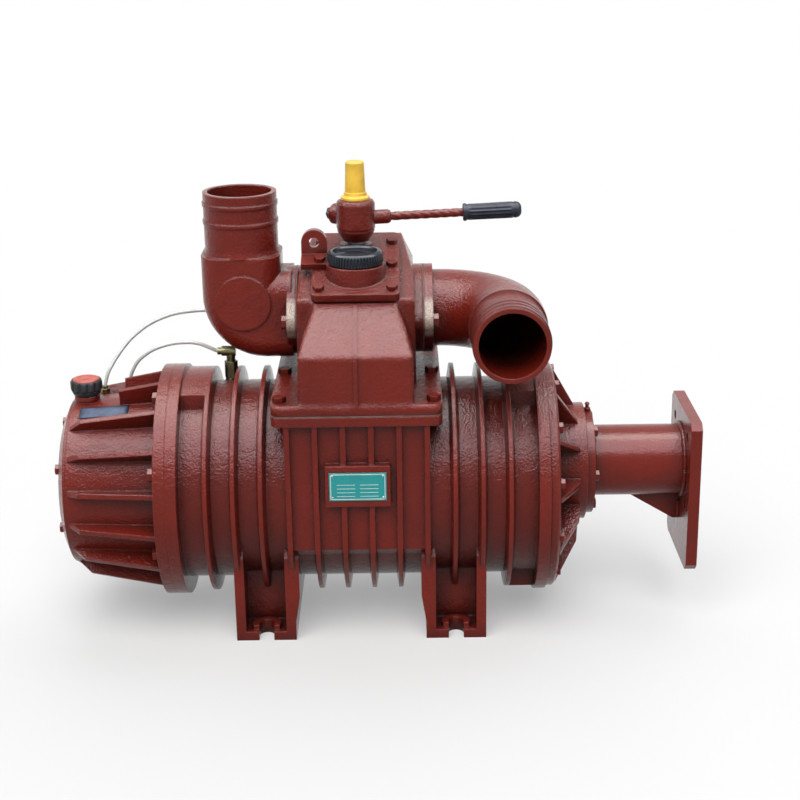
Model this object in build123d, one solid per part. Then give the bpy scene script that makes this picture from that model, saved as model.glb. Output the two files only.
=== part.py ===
from build123d import *
import os
from math import cos, degrees, pi, radians, sin, sqrt, tan

# Rotary vane vacuum pump with a finned round casing, a changeover manifold on top, a lubricator sump on
# the left end and a hydraulic-motor drive bracket on the right end.
#
# Frame: X runs along the shaft from the sump end (-X) to the drive end (+X), Y points to the back, Z is up.
# The origin is the centre of the foot-slot pattern, on the plane the feet stand on. All sizes are in mm.

os.makedirs("parts", exist_ok=True)

# ---------------------------------------------------------------- driving sizes
# casing
AXIS_Z = 185.0            # casing axis above the feet
ECCENTRICITY = 18.0       # rotor axis above the casing axis
CASING_L = 498.0          # over both end flanges
BORE_R = 118.0
CASING_WALL = 17.0
RIB_H = 19.0              # rib height above the barrel
RIB_ROOT = 12.0           # rib thickness at the barrel
RIB_TIP = 5.5             # rib thickness at its crest
RIB_PITCH = 36.0
BOX_RIB_T = 7.0           # ribs on the port box
FLANGE_H = 23.0           # end flange height above the barrel
FLANGE_T = 15.0
END_PAD_HALF = 63.0       # half width of the flats beside the end flanges
BOX_HALF_X = 90.0         # port box in the middle of the barrel
BOX_PROUD = 1.0           # front of the port box beyond the barrel
BOX_SILL = 52.0           # bottom edge of the box front below the casing axis
BOX_RIB_H = 8.0           # ribs proud of the port box
PAD_T = 13.0              # manifold pad, level with the barrel's crown
PAD_HALF_X = 110.0
PAD_OVERHANG = 10.0       # pad beyond the front of the port box
PAD_CORNER = 14.0
PORT_HALF_X = 50.0
PORT_W = 28.0
PORT_Y = 79.0             # middle of each port from the centre plane
LABEL_W = 74.0            # data plate and its boss on the port box
LABEL_H = 38.0
LABEL_T = 1.2
LABEL_BOSS_H = 3.0
PLATE_RISE = 41.0         # data plate above the casing axis

# feet
FOOT_X = 127.0            # middle of each foot
FOOT_HALF_X = 40.0
FOOT_HALF_Y = 130.0
FOOT_PLATE_T = 12.5
FOOT_WEB_T = 13.0
FOOT_FLARE = 6.0          # inner web leans this far towards the belly
FOOT_POCKET = 40.0        # depth of the open pocket at each end of a foot
FOOT_BACK_T = 10.0
FOOT_SHOULDER = 118.0     # height where a foot's front edge turns back to the barrel
SLOT_W = 20.0
SLOT_DEPTH = 24.0
SLOT_BOSS_R = 19.0
SLOT_BOSS_H = 7.0

# rotor and bearings
ROTOR_GAP = 1.0           # rotor to bore at the closest line
ROTOR_END_GAP = 1.5
VANE_COUNT = 6
VANE_T = 8.0
VANE_DEPTH = 44.0
VANE_GAP = 0.15
SHAFT_R = 30.0            # through the drum
JOURNAL_R = 27.5          # bearing seats
STUB_R = 20.0             # coupling end of the shaft
SEAL_R = 34.0
BEARING_R = 50.0
BEARING_W = 27.0
RING_GAP = 0.3            # between inner and outer ring
SEAT_GAP = 0.05           # fits inside one assembly
RUN_GAP = 0.5             # free running clearance

# sump housing on the left end
SUMP_L = 136.0            # casing flange to the end-cover joint
SUMP_R0 = 122.0           # cone radius at its flange
SUMP_R1 = 115.0           # cone radius at the end cover
SUMP_WALL = 8.0
SUMP_FLANGE_T = 15.0
SUMP_RIBS = 16
SUMP_RIB_T = 7.0
SUMP_RIB_R0 = 150.0       # rib crest at the flange
SUMP_RIB_R1 = 131.0       # rib crest at its far shoulder
SUMP_RIB_END = 19.0       # shoulder from the end-cover joint
SUMP_TOP_RIB_L = 56.0     # the two top ribs stop short
SUMP_COVER_T = 13.0
SUMP_PLUG_X = 16.5        # filler plug from the end-cover joint
SUMP_PLUG_R = 21.5
SUMP_PLUG_H = 17.0
SUMP_BOSS_H = 3.0
SUMP_BOSS_R = 16.0
BEARING_PLATE_R = 128.0
BEARING_PLATE_T = 12.0

# right end cover and drive bracket
COVER_T = 13.0
COVER_RIM_DROP = 4.0      # cover rim below the casing flange
COVER_FINS = 12
COVER_FIN_T = 6.0
HUB_R = 80.0
HUB_X = 56.0              # hub face from the casing flange
FIN_INNER_R = 97.0        # fin crest radius where it meets the hub
DRIVE_FLANGE_R = 72.0
DRIVE_FLANGE_T = 11.0
TUBE_R = 48.5
TUBE_WALL = 10.5
TUBE_L = 124.0
PLATE_T = 15.0
PLATE_HALF_Y = 77.5
PLATE_UP = 76.0           # plate above the shaft axis
PLATE_DOWN = 135.0        # plate below the shaft axis
PLATE_CHAMFER = 9.0
MOTOR_PCD = 135.0
PILOT_R = 41.5            # motor pilot in the plate
MOTOR_HOLE_R = 6.75
GUSSET_T = 10.0
GUSSET_L = 70.0
GUSSET_H = 37.0
SLEEVE_R = 30.0
SLEEVE_BORE_R = 12.5
SLEEVE_L = 74.0
SLEEVE_END = 16.0         # sleeve end inside the motor plate's back

# manifold
GASKET_T = 1.5
MAN_FLANGE_T = 13.0
MAN_HALF_X = 76.0
MAN_BACK_Y = 104.0
MAN_FRONT_Y = -68.0
MAN_FRONT_H = 41.0       # front edge of the sloping top above the port axis
MAN_SHOULDER_H = 148.5    # height of the side shoulders above the joint
MAN_SHOULDER_X = 20.0
MAN_SHOULDER_Z = 42.0
TOP_SLOPE = 16.0          # degrees, rising to the back
TANK_HALF_X = 75.0
TANK_INSET = 3.0          # tank front behind the flange's edge
TANK_KNEE_H = 76.0        # upright part of the front tank
TANK_TOP_HALF_X = 53.0
VALVE_Y = 42.0            # changeover valve and elbows, behind the shaft plane
VALVE_R = 50.0
PORT_BORE_R = 42.75       # inside of the hose ports
PORT_H = 90.5             # port axis above the manifold's joint
NECK_Y = -20.0            # oil filler
NECK_R = 40.0
NECK_BORE_R = 30.0
NECK_H = 78.0            # neck rim above the port axis
CAP_R = 36.5
CAP_H = 17.0
LID_T = 10.0              # sloping top cover
LID_HALF_X = 57.5
LID_BACK_Y = 88.0
GLAND_R = 22.0
GLAND_H = 91.0           # gland rim above the port axis
STEM_R = 11.0
LUG_X = -55.5
LUG_W = 34.0
LUG_T = 12.0
LUG_HOLE_R = 6.75
LUG_FOOT_T = 8.0
LUG_EYE_H = 24.0          # eye above the lid

# changeover lever
HEAD_R = 26.0
HEAD_GAP = 4.0            # lever head above the gland
HEAD_H = 56.0
SOCKET_L = 47.0
ROD_R = 6.0
ROD_L = 175.0             # lever reach from its socket
ROD_RISE = 2.3            # degrees
GRIP_R = 11.0
GRIP_L = 79.0
DUST_CAP_R = 19.5
DUST_CAP_H = 50.0
DUST_GAP = 0.3
CAP_GAP = 0.3             # lift-off caps above their seats

# hose elbows
SPIGOT_R = 49.2
BARB_H = 1.3
BARB_W = 5.0
OVAL_R = 60.0             # round middle of the two-bolt flanges
OVAL_LOBE_Y = 66.0        # bolt spread
OVAL_LOBE_R = 14.0
ELBOW_FLANGE_T = 12.0
LEFT_BOSS_T = 3.0         # machined port faces on the manifold
RIGHT_BOSS_T = 12.0
UPRIGHT_X = -154.0        # axis of the upright elbow
UPRIGHT_HALF = 53.0
UPRIGHT_DEPTH = 50.0
UPRIGHT_H = 164.0         # spigot rim above the port axis
UPRIGHT_NECK_H = 82.0     # top of the square body above the port axis
UPRIGHT_BEND_R = 85.0
UPRIGHT_EDGE_R = 30.0
UPRIGHT_BOSS_R = 37.0
SIDE_R = 52.0
SIDE_BEND_R = 90.0
SIDE_MOUTH_Y = -150.0

# fasteners: width across corners / 2 and head height
M10_R = 9.2
M10_H = 7.0
M8_R = 7.5
M8_H = 5.5
M6_R = 5.8
M6_H = 4.0

# lubricator gears
GEAR_TEETH = 14
GEAR_MODULE = 3.5
GEAR_W = 16.0
PUMP_T = 22.0
GEAR_BORE_R = 12.0
IDLER_PIN_R = 8.0

# oil lines
LINE_R = 2.5
LINE_BOSS_R = 8.5
STUD_H = 37.0             # elbow fitting on the casing
UNION_H = 10.0            # straight fittings on the sump
FRONT_DX = 68.0
FRONT_Y = 44.0
REAR_DX = 104.0
REAR_Y = 50.0

# ---------------------------------------------------------------- sizes that follow
SHAFT_Z = AXIS_Z + ECCENTRICITY
BARREL_R = BORE_R + CASING_WALL
RIB_R = BARREL_R + RIB_H
FLANGE_R = BARREL_R + FLANGE_H
HALF_L = CASING_L / 2
BOX_HALF_Y = BARREL_R + BOX_PROUD
BOX_RIB_Y = BOX_HALF_Y + BOX_RIB_H
PAD_HALF_Y = BOX_HALF_Y + PAD_OVERHANG
PAD_Z = AXIS_Z + BARREL_R
MAN_Z = PAD_Z + GASKET_T
PORT_Z = MAN_Z + PORT_H
SUMP_X0 = -HALF_L
SUMP_X1 = SUMP_X0 - SUMP_L
COVER_R = FLANGE_R - COVER_RIM_DROP
COVER_X = HALF_L + COVER_T
HUB_FACE_X = HALF_L + HUB_X
DRIVE_X = HUB_FACE_X + DRIVE_FLANGE_T
PLATE_X = DRIVE_X + TUBE_L
LEFT_PORT_X = -MAN_HALF_X - LEFT_BOSS_T
RIGHT_PORT_X = MAN_HALF_X + RIGHT_BOSS_T
ROTOR_R = BORE_R - ECCENTRICITY - ROTOR_GAP
ROTOR_X = HALF_L - ROTOR_END_GAP
GEAR_PITCH_R = GEAR_MODULE * GEAR_TEETH / 2
IDLER_Z = SHAFT_Z - 2 * GEAR_PITCH_R
HEAD_Z0 = PORT_Z + GLAND_H + HEAD_GAP
HEAD_ROD_Z = HEAD_Z0 + 30


# ---------------------------------------------------------------- shape helpers
def block(x0, x1, y0, y1, z0, z1):
    return Pos((x0 + x1) / 2, (y0 + y1) / 2, (z0 + z1) / 2) * Box(x1 - x0, y1 - y0, z1 - z0)


def rod(r, start, direction, length):
    """Cylinder from a point along a direction."""
    base = Plane(origin=start, z_dir=direction)
    return base * Cylinder(r, length, align=(Align.CENTER, Align.CENTER, Align.MIN))


def rod_x(r, x0, x1, y, z):
    return rod(r, (x0, y, z), (1, 0, 0), x1 - x0)


def rod_y(r, y0, y1, x, z):
    return rod(r, (x, y0, z), (0, 1, 0), y1 - y0)


def rod_z(r, z0, z1, x, y):
    return rod(r, (x, y, z0), (0, 0, 1), z1 - z0)


def turned_x(profile, z, y=0):
    """Solid of revolution about an X line at height z, from (x, radius) pairs."""
    outline = Polyline(*[(x, y, z + r) for x, r in profile], close=True)
    return revolve(make_face(outline), Axis((0, y, z), (1, 0, 0)), 360)


def turned_z(profile, x, y):
    """Solid of revolution about a vertical line, from (radius, z) pairs."""
    outline = Polyline(*[(x + r, y, z) for r, z in profile], close=True)
    return revolve(make_face(outline), Axis((x, y, 0), (0, 0, 1)), 360)


def slab_yz(points, x0, x1):
    """Prism along X from a (y, z) outline."""
    outline = Polyline(*[(x0, y, z) for y, z in points], close=True)
    return extrude(make_face(outline), amount=x1 - x0, dir=(1, 0, 0))


def slab_xz(points, y0, y1):
    """Prism along Y from an (x, z) outline."""
    outline = Polyline(*[(x, y0, z) for x, z in points], close=True)
    return extrude(make_face(outline), amount=y1 - y0, dir=(0, 1, 0))


def ring_points(count, radius, start=0.0):
    """Even points round a circle, as (along, up) offsets from its centre."""
    angles = [radians(start + 360 * i / count) for i in range(count)]
    return [(radius * cos(a), radius * sin(a)) for a in angles]


def hex_head(r, h, point, direction):
    base = Plane(origin=point, z_dir=direction)
    return base * extrude(RegularPolygon(r, 6), h)


def save(name, *solids):
    parts = []
    for item in solids:
        parts.extend(item.solids() if hasattr(item, "solids") else item)
    shape = parts[0] if len(parts) == 1 else Compound(parts)
    export_step(shape, f"parts/{name}.step")


def top_z(y):
    """Height of the manifold's sloping top at a given depth."""
    return PORT_Z + MAN_FRONT_H + (y - MAN_FRONT_Y) * tan(radians(TOP_SLOPE))


def top_plane(y):
    """Plane lying on the manifold's sloping top, X across and its normal up."""
    a = radians(TOP_SLOPE)
    return Plane(origin=(0, y, top_z(y)), x_dir=(1, 0, 0), z_dir=(0, -sin(a), cos(a)))


def on_sump(x, y):
    """Height of the sump's cone above a point."""
    t = (SUMP_X0 - SUMP_FLANGE_T - x) / (SUMP_L - SUMP_FLANGE_T)
    r = SUMP_R0 + (SUMP_R1 - SUMP_R0) * t
    return AXIS_Z + sqrt(r * r - y * y)


FRONT_X = SUMP_X0 - FRONT_DX
REAR_X = SUMP_X0 - REAR_DX
FRONT_Z = on_sump(FRONT_X, FRONT_Y) + 3.5
REAR_Z = on_sump(REAR_X, REAR_Y) + 3.5
STUD_X = -HALF_L + 2 * RIB_PITCH + 1
STUD_Z = AXIS_Z + sqrt(BARREL_R**2 - FRONT_Y**2) + 4
BACK_Y = VALVE_Y + UPRIGHT_DEPTH
LINE_Z = PORT_Z - 17.5


# ---------------------------------------------------------------- casing
def rib_profile(x, base):
    return [
        (x - RIB_ROOT / 2, base),
        (x - RIB_TIP / 2, RIB_R),
        (x + RIB_TIP / 2, RIB_R),
        (x + RIB_ROOT / 2, base),
    ]


def finned_barrel():
    """Barrel, end flanges and the six ribs that run all the way round."""
    profile = [(-HALF_L, 0), (-HALF_L, FLANGE_R), (FLANGE_T - HALF_L, FLANGE_R), (FLANGE_T - HALF_L, BARREL_R)]
    for step in (-5.5, -4.5, -3.5, 3.5, 4.5, 5.5):
        profile += rib_profile(step * RIB_PITCH, BARREL_R)
    profile += [(HALF_L - FLANGE_T, BARREL_R), (HALF_L - FLANGE_T, FLANGE_R), (HALF_L, FLANGE_R), (HALF_L, 0)]
    return turned_x(profile, AXIS_Z)


def port_box():
    """Upright box round the ports, with flat ribs that turn under the belly, and the manifold pad."""
    sill = AXIS_Z - BOX_SILL
    tuck = BOX_HALF_Y - 40
    outline = [
        (-BOX_HALF_Y, PAD_Z - 1), (-BOX_HALF_Y, sill), (-tuck, sill - 30),
        (tuck, sill - 30), (BOX_HALF_Y, sill), (BOX_HALF_Y, PAD_Z - 1),
    ]
    under = sqrt(RIB_R**2 - BOX_RIB_Y**2)
    box = slab_yz(outline, -BOX_HALF_X, BOX_HALF_X)
    for step in (-2.5, -1.5, -0.5, 0.5, 1.5, 2.5):
        x = step * RIB_PITCH
        face = block(x - BOX_RIB_T / 2, x + BOX_RIB_T / 2, -BOX_RIB_Y, BOX_RIB_Y, AXIS_Z - under, PAD_Z - 1)
        belly = turned_x([(x - RIB_ROOT / 2, 0)] + rib_profile(x, BARREL_R) + [(x + RIB_ROOT / 2, 0)], AXIS_Z)
        belly &= block(x - RIB_ROOT, x + RIB_ROOT, -BOX_RIB_Y, BOX_RIB_Y, 0, AXIS_Z - under)
        box += face + belly
    pad = Pos(0, 0, PAD_Z - PAD_T) * extrude(RectangleRounded(2 * PAD_HALF_X, 2 * PAD_HALF_Y, PAD_CORNER), PAD_T)
    return box + pad


def end_pads():
    """Flats between the outer ribs and the flanges: on top at both ends, and under the drive end."""
    reach = rod_x(RIB_R, -HALF_L, HALF_L, 0, AXIS_Z)
    inner = 5.5 * RIB_PITCH
    outer = HALF_L - FLANGE_T
    upper = AXIS_Z + sqrt(BARREL_R**2 - END_PAD_HALF**2) - 10
    pads = block(inner, outer, -END_PAD_HALF, END_PAD_HALF, upper, AXIS_Z + RIB_R)
    pads += block(-outer, -inner, -END_PAD_HALF, END_PAD_HALF, upper, AXIS_Z + RIB_R)
    pads += block(inner, outer, -END_PAD_HALF, END_PAD_HALF, AXIS_Z - RIB_R, 2 * AXIS_Z - upper)
    return pads & reach


def foot(side):
    """One saddle foot: two webs, end pockets with an open slot, and a mid web."""
    inner = FOOT_X - FOOT_HALF_X
    outer = FOOT_X + FOOT_HALF_X
    top = FOOT_SHOULDER + 20
    wall = FOOT_HALF_Y - FOOT_POCKET
    outline = [
        (-FOOT_HALF_Y, 0), (-FOOT_HALF_Y, FOOT_SHOULDER), (15 - FOOT_HALF_Y, top),
        (FOOT_HALF_Y - 15, top), (FOOT_HALF_Y, FOOT_SHOULDER), (FOOT_HALF_Y, 0),
    ]
    lean = [
        (inner, 0), (inner, FOOT_PLATE_T * 2), (inner - FOOT_FLARE, AXIS_Z - BARREL_R + 12),
        (inner - FOOT_FLARE, top), (inner + FOOT_WEB_T, top), (inner + FOOT_WEB_T, 0),
    ]
    body = slab_xz([(side * x, z) for x, z in lean], -FOOT_HALF_Y, FOOT_HALF_Y)
    body += block(*sorted((side * (outer - FOOT_WEB_T), side * outer)), -FOOT_HALF_Y, FOOT_HALF_Y, 0, top)
    body &= slab_yz(outline, *sorted((side * (inner - FOOT_FLARE), side * outer)))
    middle = side * FOOT_X
    body += block(middle - BOX_RIB_T / 2, middle + BOX_RIB_T / 2, -wall, wall, 0, AXIS_Z - BARREL_R + 12)
    for end in (-1, 1):
        back = sorted((end * (wall - FOOT_BACK_T), end * wall))
        rise = AXIS_Z - sqrt(BARREL_R**2 - (wall - FOOT_BACK_T) ** 2) + 12
        body += block(*sorted((side * inner, side * outer)), *back, 0, rise)
        plate = sorted((end * (wall - 1), end * FOOT_HALF_Y))
        body += block(*sorted((side * inner, side * outer)), *plate, 0, FOOT_PLATE_T)
        root = end * (FOOT_HALF_Y - SLOT_DEPTH + SLOT_W / 2)
        body += rod_z(SLOT_BOSS_R, 0, FOOT_PLATE_T + SLOT_BOSS_H, middle, root) & block(
            middle - 30, middle + 30, *sorted((end * wall, end * (FOOT_HALF_Y - 6))), 0, 60)
        body -= rod_z(SLOT_W / 2, -1, 60, middle, root)
        body -= block(middle - SLOT_W / 2, middle + SLOT_W / 2, *sorted((root, end * 200)), -1, 60)
    return body


def casing():
    body = finned_barrel() + port_box() + end_pads() + foot(-1) + foot(1)
    body -= block(-PAD_HALF_X, PAD_HALF_X, -RIB_R, RIB_R, PAD_Z, PAD_Z + 60)
    body += rod_z(LINE_BOSS_R, STUD_Z - 20, STUD_Z, STUD_X, FRONT_Y)
    body -= rod_x(BORE_R, -HALF_L - 1, HALF_L + 1, 0, AXIS_Z)
    for side in (-1, 1):
        port = sorted((side * (PORT_Y - PORT_W / 2), side * (PORT_Y + PORT_W / 2)))
        body -= block(-PORT_HALF_X, PORT_HALF_X, *port, AXIS_Z, PAD_Z + 1)
    # raised boss that carries the data plate, across the two middle ribs
    mid = AXIS_Z + PLATE_RISE
    boss = BOX_RIB_Y + LABEL_BOSS_H
    body += block(-LABEL_W / 2 - 5, LABEL_W / 2 + 5, -boss, 1 - BOX_HALF_Y, mid - LABEL_H / 2 - 9, mid + LABEL_H / 2 + 9)
    return body


def data_plate():
    mid = AXIS_Z + PLATE_RISE
    back = -BOX_RIB_Y - LABEL_BOSS_H
    return block(-LABEL_W / 2, LABEL_W / 2, back - LABEL_T, back, mid - LABEL_H / 2, mid + LABEL_H / 2)


# ---------------------------------------------------------------- manifold
def ports(z0, z1):
    """The two gas passages between casing and manifold."""
    front = block(-PORT_HALF_X, PORT_HALF_X, -PORT_Y - PORT_W / 2, -PORT_Y + PORT_W / 2, z0, z1)
    return front + block(-PORT_HALF_X, PORT_HALF_X, PORT_Y - PORT_W / 2, PORT_Y + PORT_W / 2, z0, z1)


def manifold_gasket():
    sheet = extrude(RectangleRounded(2 * PAD_HALF_X, 2 * PAD_HALF_Y, PAD_CORNER), GASKET_T)
    return Pos(0, 0, PAD_Z) * sheet - ports(PAD_Z - 1, MAN_Z + 1)


def oval_plate(x0, x1):
    """Two-bolt flange plate round the port axis, its lobes in front and behind."""
    middle = Pos(0, 0) * Circle(OVAL_R)
    lobes = [Pos(s * OVAL_LOBE_Y, 0) * Circle(OVAL_LOBE_R) for s in (-1, 1)]
    face = make_hull((middle + lobes[0] + lobes[1]).edges())
    plane = Plane(origin=(x0, VALVE_Y, PORT_Z), x_dir=(0, 1, 0), z_dir=(1, 0, 0))
    return extrude(plane * face, amount=x1 - x0, dir=(1, 0, 0))


def front_tank():
    """Tank in front of the valve body: upright to its knee, then leaning back and drawing in."""
    front = TANK_INSET - PAD_HALF_Y
    knee = MAN_Z + TANK_KNEE_H
    crest = PORT_Z + MAN_FRONT_H - 4
    mid = (knee + crest) / 2
    levels = [
        (MAN_Z + 2, TANK_HALF_X, front),
        (knee, TANK_HALF_X - 2, front),
        (mid, (TANK_HALF_X - 2 + TANK_TOP_HALF_X) / 2 + 1.5, (front + MAN_FRONT_Y) / 2 - 4),
        (crest, TANK_TOP_HALF_X, MAN_FRONT_Y - 4),
    ]
    sections = []
    for z, half, y in levels:
        depth = MAN_FRONT_Y + 20 - y
        sections.append(Pos(0, y + depth / 2, z) * RectangleRounded(2 * half, depth, 7))
    body = loft(sections, ruled=True)
    ridge = [(MAN_FRONT_Y, MAN_Z + 2)] + [(y - 3, z) for z, half, y in levels] + [(MAN_FRONT_Y, crest)]
    return body + slab_yz(ridge, -2.5, 2.5)


def valve_tower():
    """Tall body round the changeover valve, with sloping shoulders and a sloping top."""
    shoulder = MAN_Z + MAN_SHOULDER_H
    crown = shoulder + MAN_SHOULDER_Z * 1.6
    narrow = MAN_HALF_X - MAN_SHOULDER_X * 1.6
    outline = [
        (-MAN_HALF_X - 2, MAN_Z + 2), (-MAN_HALF_X, shoulder), (-narrow, crown),
        (narrow, crown), (MAN_HALF_X, shoulder), (MAN_HALF_X + 2, MAN_Z + 2),
    ]
    body = slab_xz(outline, MAN_FRONT_Y, MAN_BACK_Y)
    return body - top_plane(VALVE_Y) * Pos(0, 0, 200) * Box(600, 800, 400)


def manifold_body():
    body = Pos(0, 0, MAN_Z) * extrude(RectangleRounded(2 * PAD_HALF_X, 2 * PAD_HALF_Y, PAD_CORNER), MAN_FLANGE_T)
    body += valve_tower() + front_tank()
    body += oval_plate(LEFT_PORT_X, 20 - MAN_HALF_X) & block(-200, 0, -60, 200, MAN_Z + 20, 600)
    body += oval_plate(MAN_HALF_X - 20, RIGHT_PORT_X)
    # valve chamber and its four ways: left, right, front and back
    body -= rod_z(VALVE_R, PORT_Z - 52, PORT_Z + 200, 0, VALVE_Y)
    for side in (-1, 1):
        mouth = sorted((side * (VALVE_R + 8), side * (MAN_HALF_X + 30)))
        body -= rod_x(PORT_BORE_R, *mouth, VALVE_Y, PORT_Z)
        body -= block(*sorted((side * 30, side * (VALVE_R + 9))), VALVE_Y - 28, VALVE_Y + 28, PORT_Z - 30, PORT_Z + 30)
    front = TANK_INSET - PAD_HALF_Y
    body -= block(-60, 60, front + 10, MAN_FRONT_Y + 8, MAN_Z - 1, MAN_Z + TANK_KNEE_H - 6)
    body -= block(-28, 28, MAN_FRONT_Y - 2, VALVE_Y, MAN_Z + 30, MAN_Z + TANK_KNEE_H - 12)
    body -= block(-PORT_HALF_X, PORT_HALF_X, PORT_Y - PORT_W / 2, PORT_Y + PORT_W / 2, MAN_Z - 1, MAN_Z + 32)
    body -= block(-28, 28, VALVE_Y + 30, MAN_BACK_Y - 8, MAN_Z + 24, PORT_Z + 28)
    return body


def manifold_bolts():
    spots = [(x, y) for x in (-PAD_HALF_X + 11, PAD_HALF_X - 11) for y in (-PAD_HALF_Y + 24, 0, PAD_HALF_Y - 24)]
    return [hex_head(M10_R, M10_H, (x, y, MAN_Z + MAN_FLANGE_T), (0, 0, 1)) for x, y in spots]


def lid_bolt_spots():
    """Bolt centres in the lid's own plane: across, and along the slope from the valve axis."""
    run = 1 / cos(radians(TOP_SLOPE))
    front = (MAN_FRONT_Y + 11 - VALVE_Y) * run
    back = (LID_BACK_Y - 26 - VALVE_Y) * run
    return [(x, y) for x in (10 - LID_HALF_X, LID_HALF_X - 10) for y in (front, (front + back) / 2, back)]


def top_cover():
    """Sloping lid with an upright oil filler neck and the valve's gland boss."""
    run = 1 / cos(radians(TOP_SLOPE))
    length = (LID_BACK_Y - MAN_FRONT_Y + 4) * run
    centre = ((LID_BACK_Y + MAN_FRONT_Y - 4) / 2 - VALVE_Y) * run
    plane = top_plane(VALVE_Y)
    plate = plane * Pos(0, centre, 0) * extrude(RectangleRounded(2 * LID_HALF_X, length, 8), LID_T)
    below = plane * Pos(0, 0, -200) * Box(600, 800, 400)
    rim = PORT_Z + NECK_H
    neck = turned_z([(0, rim - 60), (NECK_R + 1.5, rim - 60), (NECK_R - 1, rim), (0, rim)], 0, NECK_Y)
    gland = rod_z(GLAND_R, PORT_Z + 60, PORT_Z + GLAND_H, 0, VALVE_Y)
    body = plate + (neck - below) + (gland - below)
    body -= rod_z(NECK_BORE_R, PORT_Z, rim + 1, 0, NECK_Y)
    return body - rod_z(STEM_R + RUN_GAP, PORT_Z, PORT_Z + GLAND_H + 1, 0, VALVE_Y)


def top_cover_bolts():
    plane = top_plane(VALVE_Y)
    heads = []
    for i, (x, y) in enumerate(lid_bolt_spots()):
        seat = LID_T + (LUG_FOOT_T if i == 1 else 0)
        heads.append(plane * Pos(x, y, seat) * extrude(RegularPolygon(M8_R, 6), M8_H))
    return heads


def lifting_lug():
    """Eye plate on a foot that the middle left lid bolt holds down."""
    plane = top_plane(VALVE_Y)
    run = 1 / cos(radians(TOP_SLOPE))
    bolt_y = lid_bolt_spots()[1][1]
    front = VALVE_Y + bolt_y / run + M8_R + 4
    back = front + LUG_T
    near = bolt_y - M8_R - 3
    far = (back - VALVE_Y) * run
    foot = plane * Pos(LUG_X, (near + far) / 2, LID_T) * extrude(Rectangle(LUG_W, far - near), LUG_FOOT_T)
    eye = top_z(front) + LID_T + LUG_EYE_H
    base = eye - LUG_EYE_H - 2
    left = LUG_X - LUG_W / 2
    right = LUG_X + LUG_W / 2
    plate = slab_xz([(left, base), (left, eye), (right, eye), (right, base)], front, back)
    top = rod_y(LUG_W / 2, front, back, LUG_X, eye)
    below = plane * Pos(0, 0, LID_T - 200) * Box(600, 800, 400)
    return foot + ((plate + top) - below) - rod_y(LUG_HOLE_R, front - 1, back + 1, LUG_X, eye)


# ---------------------------------------------------------------- hose elbows
def barbs(start, direction, r, places):
    """Low rings round a hose spigot, at distances back from its rim."""
    d = Vector(*direction)
    rings = []
    for away in places:
        rings.append(rod(r + BARB_H, tuple(Vector(*start) - d * away), direction, BARB_W))
    return rings


def upright_elbow():
    flange_x = LEFT_PORT_X - GASKET_T
    left = UPRIGHT_X - UPRIGHT_HALF
    right = UPRIGHT_X + UPRIGHT_HALF
    low = PORT_Z - OVAL_R + 1
    high = PORT_Z + UPRIGHT_NECK_H
    leg_top = PORT_Z + OVAL_R - 1
    end = flange_x - ELBOW_FLANGE_T / 2
    bend = UPRIGHT_BEND_R
    k = bend * (1 - cos(pi / 4))
    path = Polyline((end, low), (left + bend, low)) + ThreePointArc(
        (left + bend, low), (left + k, low + k), (left, low + bend))
    path += Polyline((left, low + bend), (left, high), (right, high), (right, leg_top), (end, leg_top), (end, low))
    face = Plane.XZ * make_face(path)
    depth = UPRIGHT_DEPTH
    body = Pos(0, VALVE_Y + depth, 0) * extrude(face, amount=2 * depth)
    # the long edges of the front and back faces are well rounded
    ends = [e for e in body.edges() if abs(e.center().Y - VALVE_Y) > depth - 0.1]
    ends = [e for e in ends if abs(e.center().X - end) > 0.1 and abs(e.center().Z - high) > 0.1]
    body = fillet(ends, UPRIGHT_EDGE_R)
    top = PORT_Z + UPRIGHT_H
    body += turned_z([(0, high - 1), (UPRIGHT_DEPTH + 1, high - 1), (SPIGOT_R, high + 7), (SPIGOT_R, top), (0, top)],
                     UPRIGHT_X, VALVE_Y)
    for ring in barbs((UPRIGHT_X, VALVE_Y, top), (0, 0, 1), SPIGOT_R, (18, 42)):
        body += ring
    body += rod_y(UPRIGHT_BOSS_R, VALVE_Y - depth - 2.5, VALVE_Y, UPRIGHT_X + 3, PORT_Z + 22)
    body += oval_plate(flange_x - ELBOW_FLANGE_T, flange_x)
    body -= rod_x(PORT_BORE_R, UPRIGHT_X, flange_x + 1, VALVE_Y, PORT_Z)
    body -= rod_z(PORT_BORE_R, PORT_Z, top + 1, UPRIGHT_X, VALVE_Y)
    return body - Pos(UPRIGHT_X, VALVE_Y, PORT_Z) * Sphere(PORT_BORE_R)


def bend_path(r, mouth):
    """A round leg from the right port, a quarter bend to the front, and a straight leg to its mouth."""
    x0 = RIGHT_PORT_X + GASKET_T
    x1 = x0 + ELBOW_FLANGE_T + 6
    y1 = VALVE_Y - SIDE_BEND_R
    leg = rod_x(r, x0, x1, VALVE_Y, PORT_Z)
    ring = Plane(origin=(x1, VALVE_Y, PORT_Z), x_dir=(0, 1, 0), z_dir=(1, 0, 0)) * Circle(r)
    turn = revolve(ring, Axis((x1, y1, PORT_Z), (0, 0, -1)), 90)
    return leg + turn + rod_y(r, mouth, y1, x1 + SIDE_BEND_R, PORT_Z)


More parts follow.
